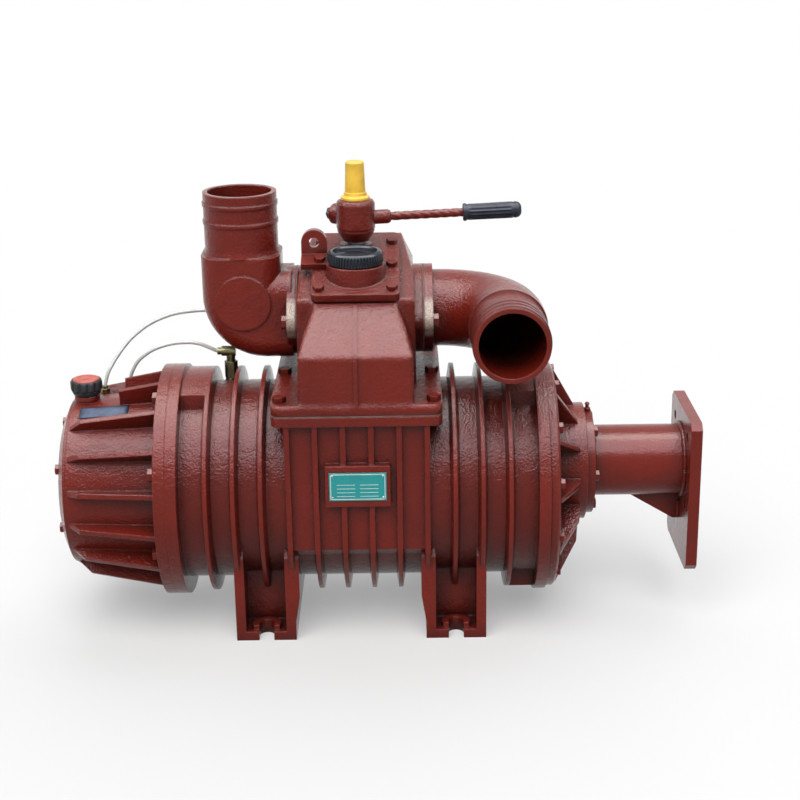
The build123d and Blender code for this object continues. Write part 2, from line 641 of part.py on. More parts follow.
def side_elbow():
    x0 = RIGHT_PORT_X + GASKET_T
    x1 = x0 + ELBOW_FLANGE_T + 6 + SIDE_BEND_R
    y1 = VALVE_Y - SIDE_BEND_R
    body = bend_path(SIDE_R, y1 - 20)
    body += rod_y(SPIGOT_R, SIDE_MOUTH_Y, y1, x1, PORT_Z)
    for ring in barbs((x1, SIDE_MOUTH_Y, PORT_Z), (0, -1, 0), SPIGOT_R, (14, 28, 42)):
        body += ring
    body += oval_plate(x0, x0 + ELBOW_FLANGE_T)
    return body - bend_path(PORT_BORE_R, SIDE_MOUTH_Y - 1) - rod_x(PORT_BORE_R, x0 - 1, x0 + 1, VALVE_Y, PORT_Z)


def port_gasket(x):
    sheet = oval_plate(x, x + GASKET_T)
    return sheet - rod_x(PORT_BORE_R, x - 1, x + GASKET_T + 1, VALVE_Y, PORT_Z)


def oval_bolts(x, direction):
    spots = [(x, VALVE_Y + s * OVAL_LOBE_Y, PORT_Z) for s in (-1, 1)]
    return [hex_head(M10_R, M10_H, p, (direction, 0, 0)) for p in spots]


# ---------------------------------------------------------------- sump housing, left end
def sump_rib_crest(x):
    """Rib crest radius between its flange end and its far shoulder."""
    t = (SUMP_X0 - SUMP_FLANGE_T - x) / (SUMP_L - SUMP_FLANGE_T - SUMP_RIB_END)
    return SUMP_RIB_R0 + (SUMP_RIB_R1 - SUMP_RIB_R0) * t


def sump_housing():
    root = SUMP_X0 - SUMP_FLANGE_T
    shoulder = SUMP_X1 + SUMP_RIB_END
    body = turned_x([
        (SUMP_X0, 0), (SUMP_X0, FLANGE_R), (root, FLANGE_R), (root, SUMP_R0), (SUMP_X1, SUMP_R1), (SUMP_X1, 0),
    ], AXIS_Z)
    for i in range(SUMP_RIBS):
        turn = 360 / SUMP_RIBS * (i + 0.5)
        far = shoulder
        tip = SUMP_X1 + 3
        if i in (0, SUMP_RIBS - 1):
            far = root - SUMP_TOP_RIB_L
            tip = far
        rib = slab_xz([
            (root + 1, SUMP_R1 - 6), (root + 1, SUMP_RIB_R0), (far, sump_rib_crest(far)), (tip, SUMP_R1 + 1), (tip, SUMP_R1 - 6),
        ], -SUMP_RIB_T / 2, SUMP_RIB_T / 2)
        body += Pos(0, 0, AXIS_Z) * Rot(turn, 0, 0) * rib
    plug_x = SUMP_X1 + SUMP_PLUG_X
    body += rod_z(SUMP_BOSS_R, AXIS_Z + SUMP_R1 - 12, AXIS_Z + SUMP_R1 + SUMP_BOSS_H, plug_x, 0)
    body += rod_z(LINE_BOSS_R, FRONT_Z - 20, FRONT_Z, FRONT_X, FRONT_Y) + rod_z(LINE_BOSS_R, REAR_Z - 20, REAR_Z, REAR_X, REAR_Y)
    body -= turned_x([
        (SUMP_X0 - BEARING_PLATE_T + 1, 0), (SUMP_X0 - BEARING_PLATE_T + 1, SUMP_R0 - SUMP_WALL),
        (SUMP_X1 - 1, SUMP_R1 - SUMP_WALL), (SUMP_X1 - 1, 0),
    ], AXIS_Z)
    body -= rod_x(BEARING_PLATE_R + SEAT_GAP, SUMP_X0 - BEARING_PLATE_T - SEAT_GAP, SUMP_X0 + 1, 0, AXIS_Z)
    return body - rod_z(SUMP_BOSS_R - 6, AXIS_Z, AXIS_Z + SUMP_R1 + 10, plug_x, 0)


def sump_end_cover():
    """Shallow dished cover with a bevelled rim."""
    x = SUMP_X1
    return turned_x([
        (x, 0), (x, SUMP_R1 - 1), (x - 4, SUMP_R1 - 2), (x - SUMP_COVER_T + 2, SUMP_R1 - 17), (x - SUMP_COVER_T, SUMP_R1 - 22),
        (x - SUMP_COVER_T, SUMP_R1 - 42), (x - SUMP_COVER_T - 3, SUMP_R1 - 75), (x - SUMP_COVER_T - 3, 0),
    ], AXIS_Z)


def ring_of_heads(count, radius, start, x, direction, z, r, h):
    return [hex_head(r, h, (x, y, z + up), (direction, 0, 0)) for y, up in ring_points(count, radius, start)]


def bearing_plate():
    """Left bearing plate inside the sump: disc on the casing flange, with the bearing hub on the shaft axis."""
    x = SUMP_X0
    body = rod_x(BEARING_PLATE_R, x - BEARING_PLATE_T, x, 0, AXIS_Z)
    body += rod_x(BEARING_R + 14, x - BEARING_W - 8, x, 0, SHAFT_Z)
    body -= rod_x(BEARING_R + SEAT_GAP, x - BEARING_W - 9, x - 8, 0, SHAFT_Z)
    return body - rod_x(JOURNAL_R + 5, x - 60, x + 1, 0, SHAFT_Z)


def bearing_rings(x0):
    mid = (BEARING_R + JOURNAL_R) / 2
    outer = rod_x(BEARING_R, x0, x0 + BEARING_W, 0, SHAFT_Z) - rod_x(mid + RING_GAP / 2, x0 - 1, x0 + BEARING_W + 1, 0, SHAFT_Z)
    inner = rod_x(mid - RING_GAP / 2, x0 + 1, x0 + BEARING_W - 1, 0, SHAFT_Z)
    inner -= rod_x(JOURNAL_R + SEAT_GAP, x0 - 1, x0 + BEARING_W + 1, 0, SHAFT_Z)
    return outer, inner


def gear(teeth, module, width, x, z, bore, turn):
    """Straight-sided spur gear on an X axis."""
    pitch = module * teeth / 2
    root = pitch - 1.15 * module
    tip = pitch + 0.85 * module
    points = []
    for i in range(teeth):
        a = 360 / teeth * i + turn
        w_root = degrees(0.92 * module / root)
        w_tip = degrees(0.40 * module / tip)
        for r, off in ((root, -w_root), (tip, -w_tip), (tip, w_tip), (root, w_root)):
            points.append((r * cos(radians(a + off)), z + r * sin(radians(a + off))))
    return slab_yz(points, x, x + width) - rod_x(bore, x - 1, x + width + 1, 0, z)


# ---------------------------------------------------------------- rotor
def rotor_drum():
    body = rod_x(ROTOR_R, -ROTOR_X, ROTOR_X, 0, SHAFT_Z)
    slot = block(-ROTOR_X - 1, ROTOR_X + 1, -VANE_T / 2 - VANE_GAP, VANE_T / 2 + VANE_GAP, ROTOR_R - VANE_DEPTH - 0.5, ROTOR_R + 5)
    for i in range(VANE_COUNT):
        body -= Pos(0, 0, SHAFT_Z) * Rot(360 / VANE_COUNT * i, 0, 0) * slot
    return body - rod_x(SHAFT_R + SEAT_GAP, -ROTOR_X - 1, ROTOR_X + 1, 0, SHAFT_Z)


def rotor_vanes():
    vane = block(-ROTOR_X + 0.5, ROTOR_X - 0.5, -VANE_T / 2, VANE_T / 2, ROTOR_R - VANE_DEPTH - 0.3, ROTOR_R - 0.6)
    return [Pos(0, 0, SHAFT_Z) * Rot(360 / VANE_COUNT * i, 0, 0) * vane for i in range(VANE_COUNT)]


def rotor_shaft():
    """Stepped shaft: gear stub, left journal, drum seat, right journal, coupling end."""
    step = SHAFT_R
    a = SUMP_X0 - BEARING_W - 8
    return turned_x([
        (a - PUMP_T - 2, 0), (a - PUMP_T - 2, GEAR_BORE_R), (a, GEAR_BORE_R), (a, JOURNAL_R), (-ROTOR_X + 6, JOURNAL_R),
        (-ROTOR_X + 6, step), (ROTOR_X - 6, step), (ROTOR_X - 6, JOURNAL_R), (HUB_FACE_X - 4, JOURNAL_R),
        (HUB_FACE_X - 4, STUB_R), (PLATE_X - SLEEVE_END - SLEEVE_L / 2, STUB_R), (PLATE_X - SLEEVE_END - SLEEVE_L / 2, 0),
    ], SHAFT_Z)


def coupling_sleeve():
    """Sleeve on the shaft end, bored for the motor's shaft with its keyway."""
    x1 = PLATE_X - SLEEVE_END
    x0 = x1 - SLEEVE_L
    body = turned_x([(x0, 0), (x0, SLEEVE_R), (x1 - 2, SLEEVE_R), (x1, SLEEVE_R - 2), (x1, 0)], SHAFT_Z)
    body -= rod_x(STUB_R + SEAT_GAP, x0 - 1, x1 - SLEEVE_L / 2, 0, SHAFT_Z)
    body -= rod_x(SLEEVE_BORE_R, x1 - SLEEVE_L / 2 - 1, x1 + 1, 0, SHAFT_Z)
    return body - block(x1 - SLEEVE_L / 2, x1 + 1, -4, 4, SHAFT_Z, SHAFT_Z + SLEEVE_BORE_R + 3.3)


# ---------------------------------------------------------------- drive end
def end_cover():
    """Right end cover: rim plate, hub on the shaft axis, and radial fins that fall away to the rim."""
    body = turned_x([(HALF_L, 0), (HALF_L, COVER_R), (COVER_X - 3, COVER_R), (COVER_X, COVER_R - 3), (COVER_X, 0)], AXIS_Z)
    body += rod_x(HUB_R, HALF_L, HUB_FACE_X, 0, SHAFT_Z)
    crest = turned_x([
        (COVER_X - 1, 0), (COVER_X - 1, COVER_R - 4), (COVER_X + 1, COVER_R - 4), (COVER_X + 31, FIN_INNER_R), (HUB_FACE_X - 1, 0),
    ], AXIS_Z)
    fin = block(COVER_X - 1, HUB_FACE_X, -COVER_FIN_T / 2, COVER_FIN_T / 2, HUB_R - 4, 2 * COVER_R)
    for i in range(COVER_FINS):
        body += (Pos(0, 0, SHAFT_Z) * Rot(360 / COVER_FINS * i, 0, 0) * fin) & crest
    body -= rod_x(BEARING_R + SEAT_GAP, HUB_FACE_X - BEARING_W - 1, HUB_FACE_X + 1, 0, SHAFT_Z)
    return body - rod_x(JOURNAL_R + 5, HALF_L - 1, HUB_FACE_X, 0, SHAFT_Z)


def drive_flange():
    body = rod_x(DRIVE_FLANGE_R, HUB_FACE_X, DRIVE_X, 0, SHAFT_Z)
    return body - rod_x(SEAL_R + SEAT_GAP, HUB_FACE_X - 1, DRIVE_X + 1, 0, SHAFT_Z)


def shaft_seal():
    body = rod_x(SEAL_R, HUB_FACE_X + 1, DRIVE_X, 0, SHAFT_Z)
    return body - rod_x(STUB_R + RUN_GAP, HUB_FACE_X, DRIVE_X + 1, 0, SHAFT_Z)


def drive_tube():
    return rod_x(TUBE_R, DRIVE_X, PLATE_X, 0, SHAFT_Z) - rod_x(TUBE_R - TUBE_WALL, DRIVE_X - 1, PLATE_X + 1, 0, SHAFT_Z)


def motor_plate():
    low = SHAFT_Z - PLATE_DOWN
    high = SHAFT_Z + PLATE_UP
    w = PLATE_HALF_Y
    c = PLATE_CHAMFER
    body = slab_yz([
        (c - w, low), (-w, low + c), (-w, high - c), (c - w, high), (w - c, high), (w, high - c), (w, low + c), (w - c, low),
    ], PLATE_X, PLATE_X + PLATE_T)
    body -= rod_x(PILOT_R, PLATE_X - 1, PLATE_X + PLATE_T + 1, 0, SHAFT_Z)
    for y, up in ring_points(4, MOTOR_PCD / 2, 45):
        body -= rod_x(MOTOR_HOLE_R, PLATE_X - 1, PLATE_X + PLATE_T + 1, y, SHAFT_Z + up)
    return body


def plate_gusset():
    low = SHAFT_Z - TUBE_R
    rib = slab_xz([
        (PLATE_X - GUSSET_L, low), (PLATE_X - GUSSET_L, low + 8), (PLATE_X, low + 8), (PLATE_X, low - GUSSET_H),
        (PLATE_X - 8, low - GUSSET_H),
    ], -GUSSET_T / 2, GUSSET_T / 2)
    return rib - rod_x(TUBE_R, DRIVE_X, PLATE_X + 1, 0, SHAFT_Z)


def grease_nipple(x, z):
    return turned_z([(0, z), (4.5, z), (4.5, z + 4), (2.5, z + 5), (2.5, z + 8), (3.6, z + 9.5), (2, z + 12), (0, z + 12)], x, 0)


# ---------------------------------------------------------------- lubricator
def pump_body():
    """Gear pump housing on the bearing hub: a plate with two bores for the gears."""
    x1 = SUMP_X0 - BEARING_W - 8
    x0 = x1 - PUMP_T
    tip = GEAR_PITCH_R + GEAR_MODULE
    body = block(x0, x1, -tip - 9, tip + 9, IDLER_Z - tip - 9, SHAFT_Z + tip + 9)
    for z in (SHAFT_Z, IDLER_Z):
        body -= rod_x(tip + 1, x0 + 3, x1 + 1, 0, z)
    body -= rod_x(GEAR_BORE_R + 1, x0 - 1, x1, 0, SHAFT_Z)
    return body


def idler_pin():
    x1 = SUMP_X0 - BEARING_W - 8
    return rod_x(IDLER_PIN_R, x1 - PUMP_T + 3, x1, 0, IDLER_Z)


# ---------------------------------------------------------------- changeover
def valve_plug():
    """Four-way plug: two discs, a slanting blade with sealing lobes between them, and the stem."""
    r = VALVE_R - RUN_GAP
    z0 = PORT_Z - 50
    z1 = PORT_Z + 50
    body = rod_z(r, z0, z0 + 8, 0, VALVE_Y) + rod_z(r, z1 - 8, z1, 0, VALVE_Y)
    shell = rod_z(r, z0, z1, 0, VALVE_Y) - rod_z(r - 7, z0 - 1, z1 + 1, 0, VALVE_Y)
    blade = block(-r, r, -6, 6, z0, z1) & rod_z(r, z0, z1, 0, 0)
    lobes = shell & (Pos(0, VALVE_Y, 0) * Rot(0, 0, 45) * block(-r - 5, r + 5, -10, 10, z0, z1))
    body += Pos(0, VALVE_Y, 0) * Rot(0, 0, 45) * blade + lobes
    return body + rod_z(STEM_R, z1 - 1, HEAD_Z0 + HEAD_H - 6, 0, VALVE_Y)


def lever_head():
    """Cast head: bevelled hub, clamp lug at the back left, and the lever socket."""
    z = HEAD_Z0
    body = turned_z([
        (0, z), (HEAD_R - 9, z), (HEAD_R - 1, z + 13), (HEAD_R - 1, z + 16), (HEAD_R, z + 18), (HEAD_R, z + HEAD_H - 6),
        (HEAD_R - 2, z + HEAD_H - 2), (HEAD_R - 6, z + HEAD_H), (0, z + HEAD_H),
    ], 0, VALVE_Y)
    lobe = rod((14), (0, VALVE_Y, z + 32), (-0.8, 0.6, 0), 36)
    socket = rod(9.5, (0, VALVE_Y, HEAD_ROD_Z), lever_way(), SOCKET_L - 4)
    tip = Plane(origin=lever_point(SOCKET_L - 4), z_dir=lever_way()) * Cone(9.5, 7.5, 4, align=(Align.CENTER, Align.CENTER, Align.MIN))
    body += lobe + socket + tip
    body -= rod_z(STEM_R + SEAT_GAP, z - 1, z + HEAD_H - 6, 0, VALVE_Y)
    return body - rod(ROD_R + SEAT_GAP, lever_point(SOCKET_L - 16), lever_way(), 20)


def lever_way():
    a = radians(ROD_RISE)
    return (cos(a), 0, sin(a))


def lever_point(reach):
    a = radians(ROD_RISE)
    return (reach * cos(a), VALVE_Y, HEAD_ROD_Z + reach * sin(a))


def lever_rod():
    return rod(ROD_R, lever_point(SOCKET_L - 16), lever_way(), ROD_L - GRIP_L + 16 + 40)


def lever_grip():
    start = SOCKET_L + ROD_L - GRIP_L
    plane = Plane(origin=lever_point(start), x_dir=(0, 1, 0), z_dir=lever_way())
    outline = [(0, 0), (GRIP_R + 1, 0), (GRIP_R + 1, 5), (GRIP_R - 1, 7), (GRIP_R, GRIP_L - 9), (GRIP_R - 3, GRIP_L - 3), (GRIP_R - 7, GRIP_L), (0, GRIP_L)]
    solid = revolve(make_face(Polyline(*[(r, 0, h) for r, h in outline], close=True)), Axis.Z, 360)
    return plane * solid - rod(ROD_R + SEAT_GAP, lever_point(start - 1), lever_way(), 41.5)


def clamp_bolt():
    way = Vector(-0.8, 0.6, 0)
    seat = Vector(0, VALVE_Y, HEAD_Z0 + 32) + way * 36
    return hex_head(M8_R + 1, 9, tuple(seat), (-0.8, 0.6, 0))


def dust_cap():
    """Tapered plastic cap pressed over the stem end, on a short spigot of the head."""
    z = HEAD_Z0 + HEAD_H + DUST_GAP
    return turned_z([
        (0, z), (DUST_CAP_R, z), (DUST_CAP_R, z + 3), (15.5, z + 5), (15, z + 9), (13.8, z + 9.5), (12.4, z + DUST_CAP_H - 2),
        (11, z + DUST_CAP_H), (0, z + DUST_CAP_H),
    ], 0, VALVE_Y)


def filler_cap():
    """Screw cap with a dished top and a plug that hangs in the neck."""
    z = PORT_Z + NECK_H + CAP_GAP
    top = z + CAP_H
    plug = NECK_BORE_R - RUN_GAP
    return turned_z([
        (0, z - 10), (plug, z - 10), (plug, z), (CAP_R, z), (CAP_R, top - 3), (CAP_R - 2, top), (CAP_R - 6, top), (CAP_R - 9, top - 3), (0, top - 3),
    ], 0, NECK_Y)


def sump_plug():
    z = AXIS_Z + SUMP_R1 + SUMP_BOSS_H + CAP_GAP
    x = SUMP_X1 + SUMP_PLUG_X
    stem = SUMP_BOSS_R - 6 - RUN_GAP
    body = turned_z([
        (0, z - 8), (stem, z - 8), (stem, z), (SUMP_PLUG_R - 2, z), (SUMP_PLUG_R, z + 3), (SUMP_PLUG_R, z + SUMP_PLUG_H), (0, z + SUMP_PLUG_H),
    ], x, 0)
    cap = turned_z([
        (0, z + SUMP_PLUG_H), (SUMP_PLUG_R - 1, z + SUMP_PLUG_H), (SUMP_PLUG_R - 2, z + SUMP_PLUG_H + 2), (0, z + SUMP_PLUG_H + 2),
    ], x, 0)
    return body, cap


# ---------------------------------------------------------------- oil lines
def oil_line(points):
    """Nylon tube through the points, each corner rounded as far as its runs allow."""
    radii = []
    for a, b, c in zip(points, points[1:], points[2:]):
        u = Vector(*b) - Vector(*a)
        v = Vector(*c) - Vector(*b)
        radii.append(0.45 * min(u.length, v.length) / tan(radians(u.get_angle(v)) / 2))
    path = FilletPolyline(*points, radius=radii)
    start = Vector(*points[1]) - Vector(*points[0])
    section = Plane(origin=points[0], z_dir=tuple(start)) * Circle(LINE_R)
    tube = sweep(section, path=path)
    print("oil line", "length", round(path.length, 1), "volume ratio",
          round(tube.volume / (pi * LINE_R**2 * path.length), 4), "radii", [round(r) for r in radii])
    return tube


def union_nut(x, y, z, h):
    """Straight screwed fitting standing on its boss."""
    return Pos(x, y, z) * extrude(RegularPolygon(6.5, 6), h - 4) + rod_z(4, z, z + h, x, y)


def elbow_union(x, y, z0, z1):
    """Screwed elbow fitting: a stud up to a block, and a nut facing the sump end."""
    stud = rod_z(6, z0, z1, x, y) + Pos(x, y, z0) * extrude(RegularPolygon(9, 6), z1 - z0 - 14)
    return stud + rod_x(7, x - 12, x + 7, y, z1) + rod_x(5, x - 18, x - 12, y, z1)


def rear_union(x, y0, y1, z):
    """Screwed elbow fitting on the back of the upright elbow, its nut facing the sump end."""
    stud = rod_y(6, y0, y1, x, z) + rod_y(8.5, y0, y0 + 6, x, z)
    return stud + rod_x(7, x - 12, x + 7, y1, z) + rod_x(5, x - 18, x - 12, y1, z)


# ---------------------------------------------------------------- pieces
save("cylinder_casing", casing())
save("data_plate", data_plate())
save("manifold_gasket", manifold_gasket())
save("manifold_body", manifold_body())
save("manifold_bolts", manifold_bolts())
save("top_cover", top_cover())
save("top_cover_bolts", top_cover_bolts())
save("lifting_lug", lifting_lug())

save("upright_elbow", upright_elbow())
save("upright_elbow_gasket", port_gasket(LEFT_PORT_X - GASKET_T))
save("upright_elbow_bolts", oval_bolts(LEFT_PORT_X - GASKET_T - ELBOW_FLANGE_T, -1))
save("side_elbow", side_elbow())
save("side_elbow_gasket", port_gasket(RIGHT_PORT_X))
save("side_elbow_bolts", oval_bolts(RIGHT_PORT_X + GASKET_T + ELBOW_FLANGE_T, 1))

save("sump_housing", sump_housing())
save("sump_flange_bolts", ring_of_heads(8, (FLANGE_R + SUMP_R0) / 2 + 4, 22.5, SUMP_X0 - SUMP_FLANGE_T, -1, AXIS_Z, M10_R, M10_H))
save("sump_end_cover", sump_end_cover())
save("sump_end_bolts", ring_of_heads(6, SUMP_R1 - 32, 30, SUMP_X1 - SUMP_COVER_T, -1, AXIS_Z, M8_R, M8_H))
save("bearing_plate", bearing_plate())
left_outer, left_inner = bearing_rings(SUMP_X0 - BEARING_W - 8)
save("left_bearing_outer", left_outer)
save("left_bearing_inner", left_inner)

save("end_cover", end_cover())
save("end_cover_bolts", ring_of_heads(12, COVER_R - 11, 15, COVER_X, 1, AXIS_Z, M8_R, M8_H))
right_outer, right_inner = bearing_rings(HUB_FACE_X - BEARING_W)
save("right_bearing_outer", right_outer)
save("right_bearing_inner", right_inner)
save("drive_flange", drive_flange())
save("drive_flange_bolts", ring_of_heads(6, (DRIVE_FLANGE_R + TUBE_R) / 2, 0, DRIVE_X, 1, SHAFT_Z, M8_R, M8_H))
save("shaft_seal", shaft_seal())
save("drive_tube", drive_tube())
save("motor_plate", motor_plate())
save("plate_gusset", plate_gusset())
save("grease_nipple", grease_nipple(DRIVE_X - DRIVE_FLANGE_T / 2, SHAFT_Z + DRIVE_FLANGE_R))

save("oil_pump_body", pump_body())
save("idler_pin", idler_pin())
gear_x = SUMP_X0 - BEARING_W - 8 - PUMP_T + 4
save("oil_pump_drive_gear", gear(GEAR_TEETH, GEAR_MODULE, GEAR_W, gear_x, SHAFT_Z, GEAR_BORE_R + SEAT_GAP, -90))
save("oil_pump_driven_gear", gear(GEAR_TEETH, GEAR_MODULE, GEAR_W, gear_x, IDLER_Z, IDLER_PIN_R + 0.05, 90 + 180 / GEAR_TEETH))

save("rotor_drum", rotor_drum())
save("rotor_vanes", rotor_vanes())
save("rotor_shaft", rotor_shaft())
save("coupling_sleeve", coupling_sleeve())

save("valve_plug", valve_plug())
save("lever_head", lever_head())
save("lever_rod", lever_rod())
save("lever_grip", lever_grip())
save("lever_clamp_bolt", clamp_bolt())
save("dust_cap", dust_cap())
save("filler_cap", filler_cap())
plug_body, plug_top = sump_plug()
save("sump_plug", plug_body)
save("sump_plug_top", plug_top)

# oil lines: one to the casing beside the manifold, one to the back of the upright elbow
save("oil_line_front", oil_line([
    (FRONT_X, FRONT_Y, FRONT_Z + UNION_H), (FRONT_X + 2, FRONT_Y, AXIS_Z + 137), (FRONT_X + 12, FRONT_Y, AXIS_Z + 156),
    (FRONT_X + 33, FRONT_Y, AXIS_Z + 172), (FRONT_X + 61, FRONT_Y, AXIS_Z + 181),
    (FRONT_X + 95, FRONT_Y, AXIS_Z + 182), (STUD_X - 18, FRONT_Y, STUD_Z + STUD_H),
]))
save("oil_line_rear", oil_line([
    (REAR_X, REAR_Y, REAR_Z + UNION_H), (REAR_X + 4, 54, AXIS_Z + 136), (REAR_X + 16, 65, AXIS_Z + 156),
    (REAR_X + 34, 79, AXIS_Z + 178), (REAR_X + 61, 91, AXIS_Z + 197), (REAR_X + 92, 102, AXIS_Z + 207),
    (REAR_X + 125, BACK_Y + 16, LINE_Z), (UPRIGHT_X - 18, BACK_Y + 16, LINE_Z),
]))
save("oil_line_fittings", union_nut(FRONT_X, FRONT_Y, FRONT_Z, UNION_H), union_nut(REAR_X, REAR_Y, REAR_Z, UNION_H),
     elbow_union(STUD_X, FRONT_Y, STUD_Z, STUD_Z + STUD_H), rear_union(UPRIGHT_X, BACK_Y, BACK_Y + 16, LINE_Z))
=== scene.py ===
import math
import random

import bmesh
import bpy
from mathutils import Matrix, Vector


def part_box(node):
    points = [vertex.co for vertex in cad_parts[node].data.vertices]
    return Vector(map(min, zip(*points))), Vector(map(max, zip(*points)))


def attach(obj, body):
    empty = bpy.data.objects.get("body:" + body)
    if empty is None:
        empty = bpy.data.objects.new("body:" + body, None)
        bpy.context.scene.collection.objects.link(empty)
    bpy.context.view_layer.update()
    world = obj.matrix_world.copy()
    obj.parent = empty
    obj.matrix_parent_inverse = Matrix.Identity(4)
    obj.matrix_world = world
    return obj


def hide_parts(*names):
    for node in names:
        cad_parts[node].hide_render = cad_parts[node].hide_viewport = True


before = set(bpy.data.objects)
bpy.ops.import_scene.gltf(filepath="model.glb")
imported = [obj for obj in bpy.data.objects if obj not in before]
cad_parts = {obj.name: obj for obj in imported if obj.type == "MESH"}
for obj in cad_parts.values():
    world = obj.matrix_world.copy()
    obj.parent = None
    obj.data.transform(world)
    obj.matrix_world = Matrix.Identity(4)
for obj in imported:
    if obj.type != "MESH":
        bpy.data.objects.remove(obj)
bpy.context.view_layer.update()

scene = bpy.context.scene
scene.view_settings.view_transform = "Standard"

HOUSING = "pump_housing"
LEVER = "changeover_lever"

# camera, at the photo's angle
CAMERA_TARGET = (0.0558, 0.0, 0.2936)
CAMERA_TILT = 18.5          # degrees above the floor
CAMERA_ROLL = -0.8          # degrees
CAMERA_DISTANCE = 2.176
CAMERA_LENS = 72.0          # mm, on a sensor 36 mm wide

# background and floor
WORLD_SOFT = 0.34           # sky strength where it lights the pump
FLOOR_HALF = 40.0
FLOOR_BOUNCE = 0.32         # floor as the pump's surfaces see it
FLOOR_SHADE = 0.45          # floor as the camera sees it, in shadow or not
FLOOR_GLOW = 0.30           # lifts the floor to white outside its shadow
SKY_LAMP_REACH = 4.0        # a sun lamp, so only its direction counts

# paint
RED = (0.176, 0.0125, 0.0055)
DEEP_SHADE = (0.010, 0.004, 0.004)
# painted highlight: pale colour of the glints painted on the elbow flanges
GLINT_PALE = (0.46, 0.39, 0.32)
FLANGE_DEPTH = 0.012        # elbow flange, from its gasket's face outwards
PATCH_FRONT = 0.012         # painted highlight patch starts this far in front of the valve's middle
PATCH_BELOW = 0.35          # painted highlight patch, as a share of the gasket's half height
PATCH_ABOVE = 0.45

# changeover lever
LEVER_SLOPE = math.radians(2.3)
ROD_RADIUS = 0.0050
ROD_RIDGE = 0.00088         # height of the twisted ridges
ROD_PITCH = 0.052           # one full twist
GRIP_LENGTH = 0.079
GRIP_RADIUS = 0.012         # of its rims
GRIP_FLUTES = 14

# plates and labels
LINE_THICK = 0.00012        # raised lines on the data plate
AXIS_Z = 0.185              # casing axis above the floor
SUMP_FLANGE = 0.015         # sump housing flange, along x
CONE_R_JOINT = 0.122        # sump cone under the label, at its flange and at its far end
CONE_R_END = 0.115
LABEL_FROM_END = 0.012      # from the sump housing's far end
LABEL_LENGTH = 0.066
LABEL_ANGLES = (13.5, 25.5)  # degrees forward of straight up


# ---------------------------------------------------------------- camera, lamps and floor
def aim(obj, target, roll=0.0):
    """Turns a camera or lamp to face the target."""
    way = Vector(target) - obj.location
    turn = way.to_track_quat("-Z", "Y") @ Matrix.Rotation(roll, 4, "Z").to_quaternion()
    obj.rotation_mode = "QUATERNION"
    obj.rotation_quaternion = turn


def add_camera():
    target = Vector(CAMERA_TARGET)
    tilt = math.radians(CAMERA_TILT)
    data = bpy.data.cameras.new("camera")
    data.lens = CAMERA_LENS
    data.sensor_width = 36.0
    data.clip_start = 0.05
    data.clip_end = 100.0
    cam = bpy.data.objects.new("camera", data)
    scene.collection.objects.link(cam)
    cam.location = target + Vector((0, -math.cos(tilt), math.sin(tilt))) * CAMERA_DISTANCE
    aim(cam, target, math.radians(CAMERA_ROLL))
    scene.camera = cam


def add_panel(name, place, target, wide, high, power, colour):
    """A large soft panel that shows only as the sheen on glossy surfaces."""
    data = bpy.data.lights.new(name, "AREA")
    data.shape = "RECTANGLE"
    data.size = wide
    data.size_y = high
    data.energy = power
    data.color = colour
    lamp = bpy.data.objects.new(name, data)
    scene.collection.objects.link(lamp)
    lamp.location = place
    aim(lamp, target)
    lamp.visible_diffuse = False
    lamp.visible_glossy = True


def add_sky_lamp(name, azimuth, elevation, spread, strength, colour):
    """A broad lamp far away, so that the floor is lit evenly; it shows in no reflection."""
    data = bpy.data.lights.new(name, "SUN")
    data.angle = math.radians(spread)
    data.energy = strength
    data.color = colour
    lamp = bpy.data.objects.new(name, data)
    scene.collection.objects.link(lamp)
    az = math.radians(azimuth)
    el = math.radians(elevation)
    reach = SKY_LAMP_REACH
    lamp.location = (
        reach * math.sin(az) * math.cos(el), -reach * math.cos(az) * math.cos(el), reach * math.sin(el))
    aim(lamp, (0, 0, 0))
    lamp.visible_glossy = False


def shown(tree):
    """One for rays that meet the pale background: seen directly, reflected or through something clear."""
    path = tree.nodes.new("ShaderNodeLightPath")
    socket = path.outputs["Is Camera Ray"]
    for ray in ("Is Glossy Ray", "Is Transmission Ray"):
        largest = tree.nodes.new("ShaderNodeMath")
        largest.operation = "MAXIMUM"
        tree.links.new(socket, largest.inputs[0])
        tree.links.new(path.outputs[ray], largest.inputs[1])
        socket = largest.outputs[0]
    return socket


def grey(value):
    return (value, value, value, 1)


def add_world():
    world = bpy.data.worlds.new("studio")
    scene.world = world
    world.use_nodes = True
    tree = world.node_tree
    tree.nodes.clear()
    out = tree.nodes.new("ShaderNodeOutputWorld")
    soft = tree.nodes.new("ShaderNodeBackground")
    soft.inputs["Color"].default_value = (0.94, 0.96, 1.0, 1)
    soft.inputs["Strength"].default_value = WORLD_SOFT
    white = tree.nodes.new("ShaderNodeBackground")
    white.inputs["Color"].default_value = grey(1)
    white.inputs["Strength"].default_value = 1.0
    mix = tree.nodes.new("ShaderNodeMixShader")
    tree.links.new(shown(tree), mix.inputs[0])
    tree.links.new(soft.outputs[0], mix.inputs[1])
    tree.links.new(white.outputs[0], mix.inputs[2])
    tree.links.new(mix.outputs[0], out.inputs[0])


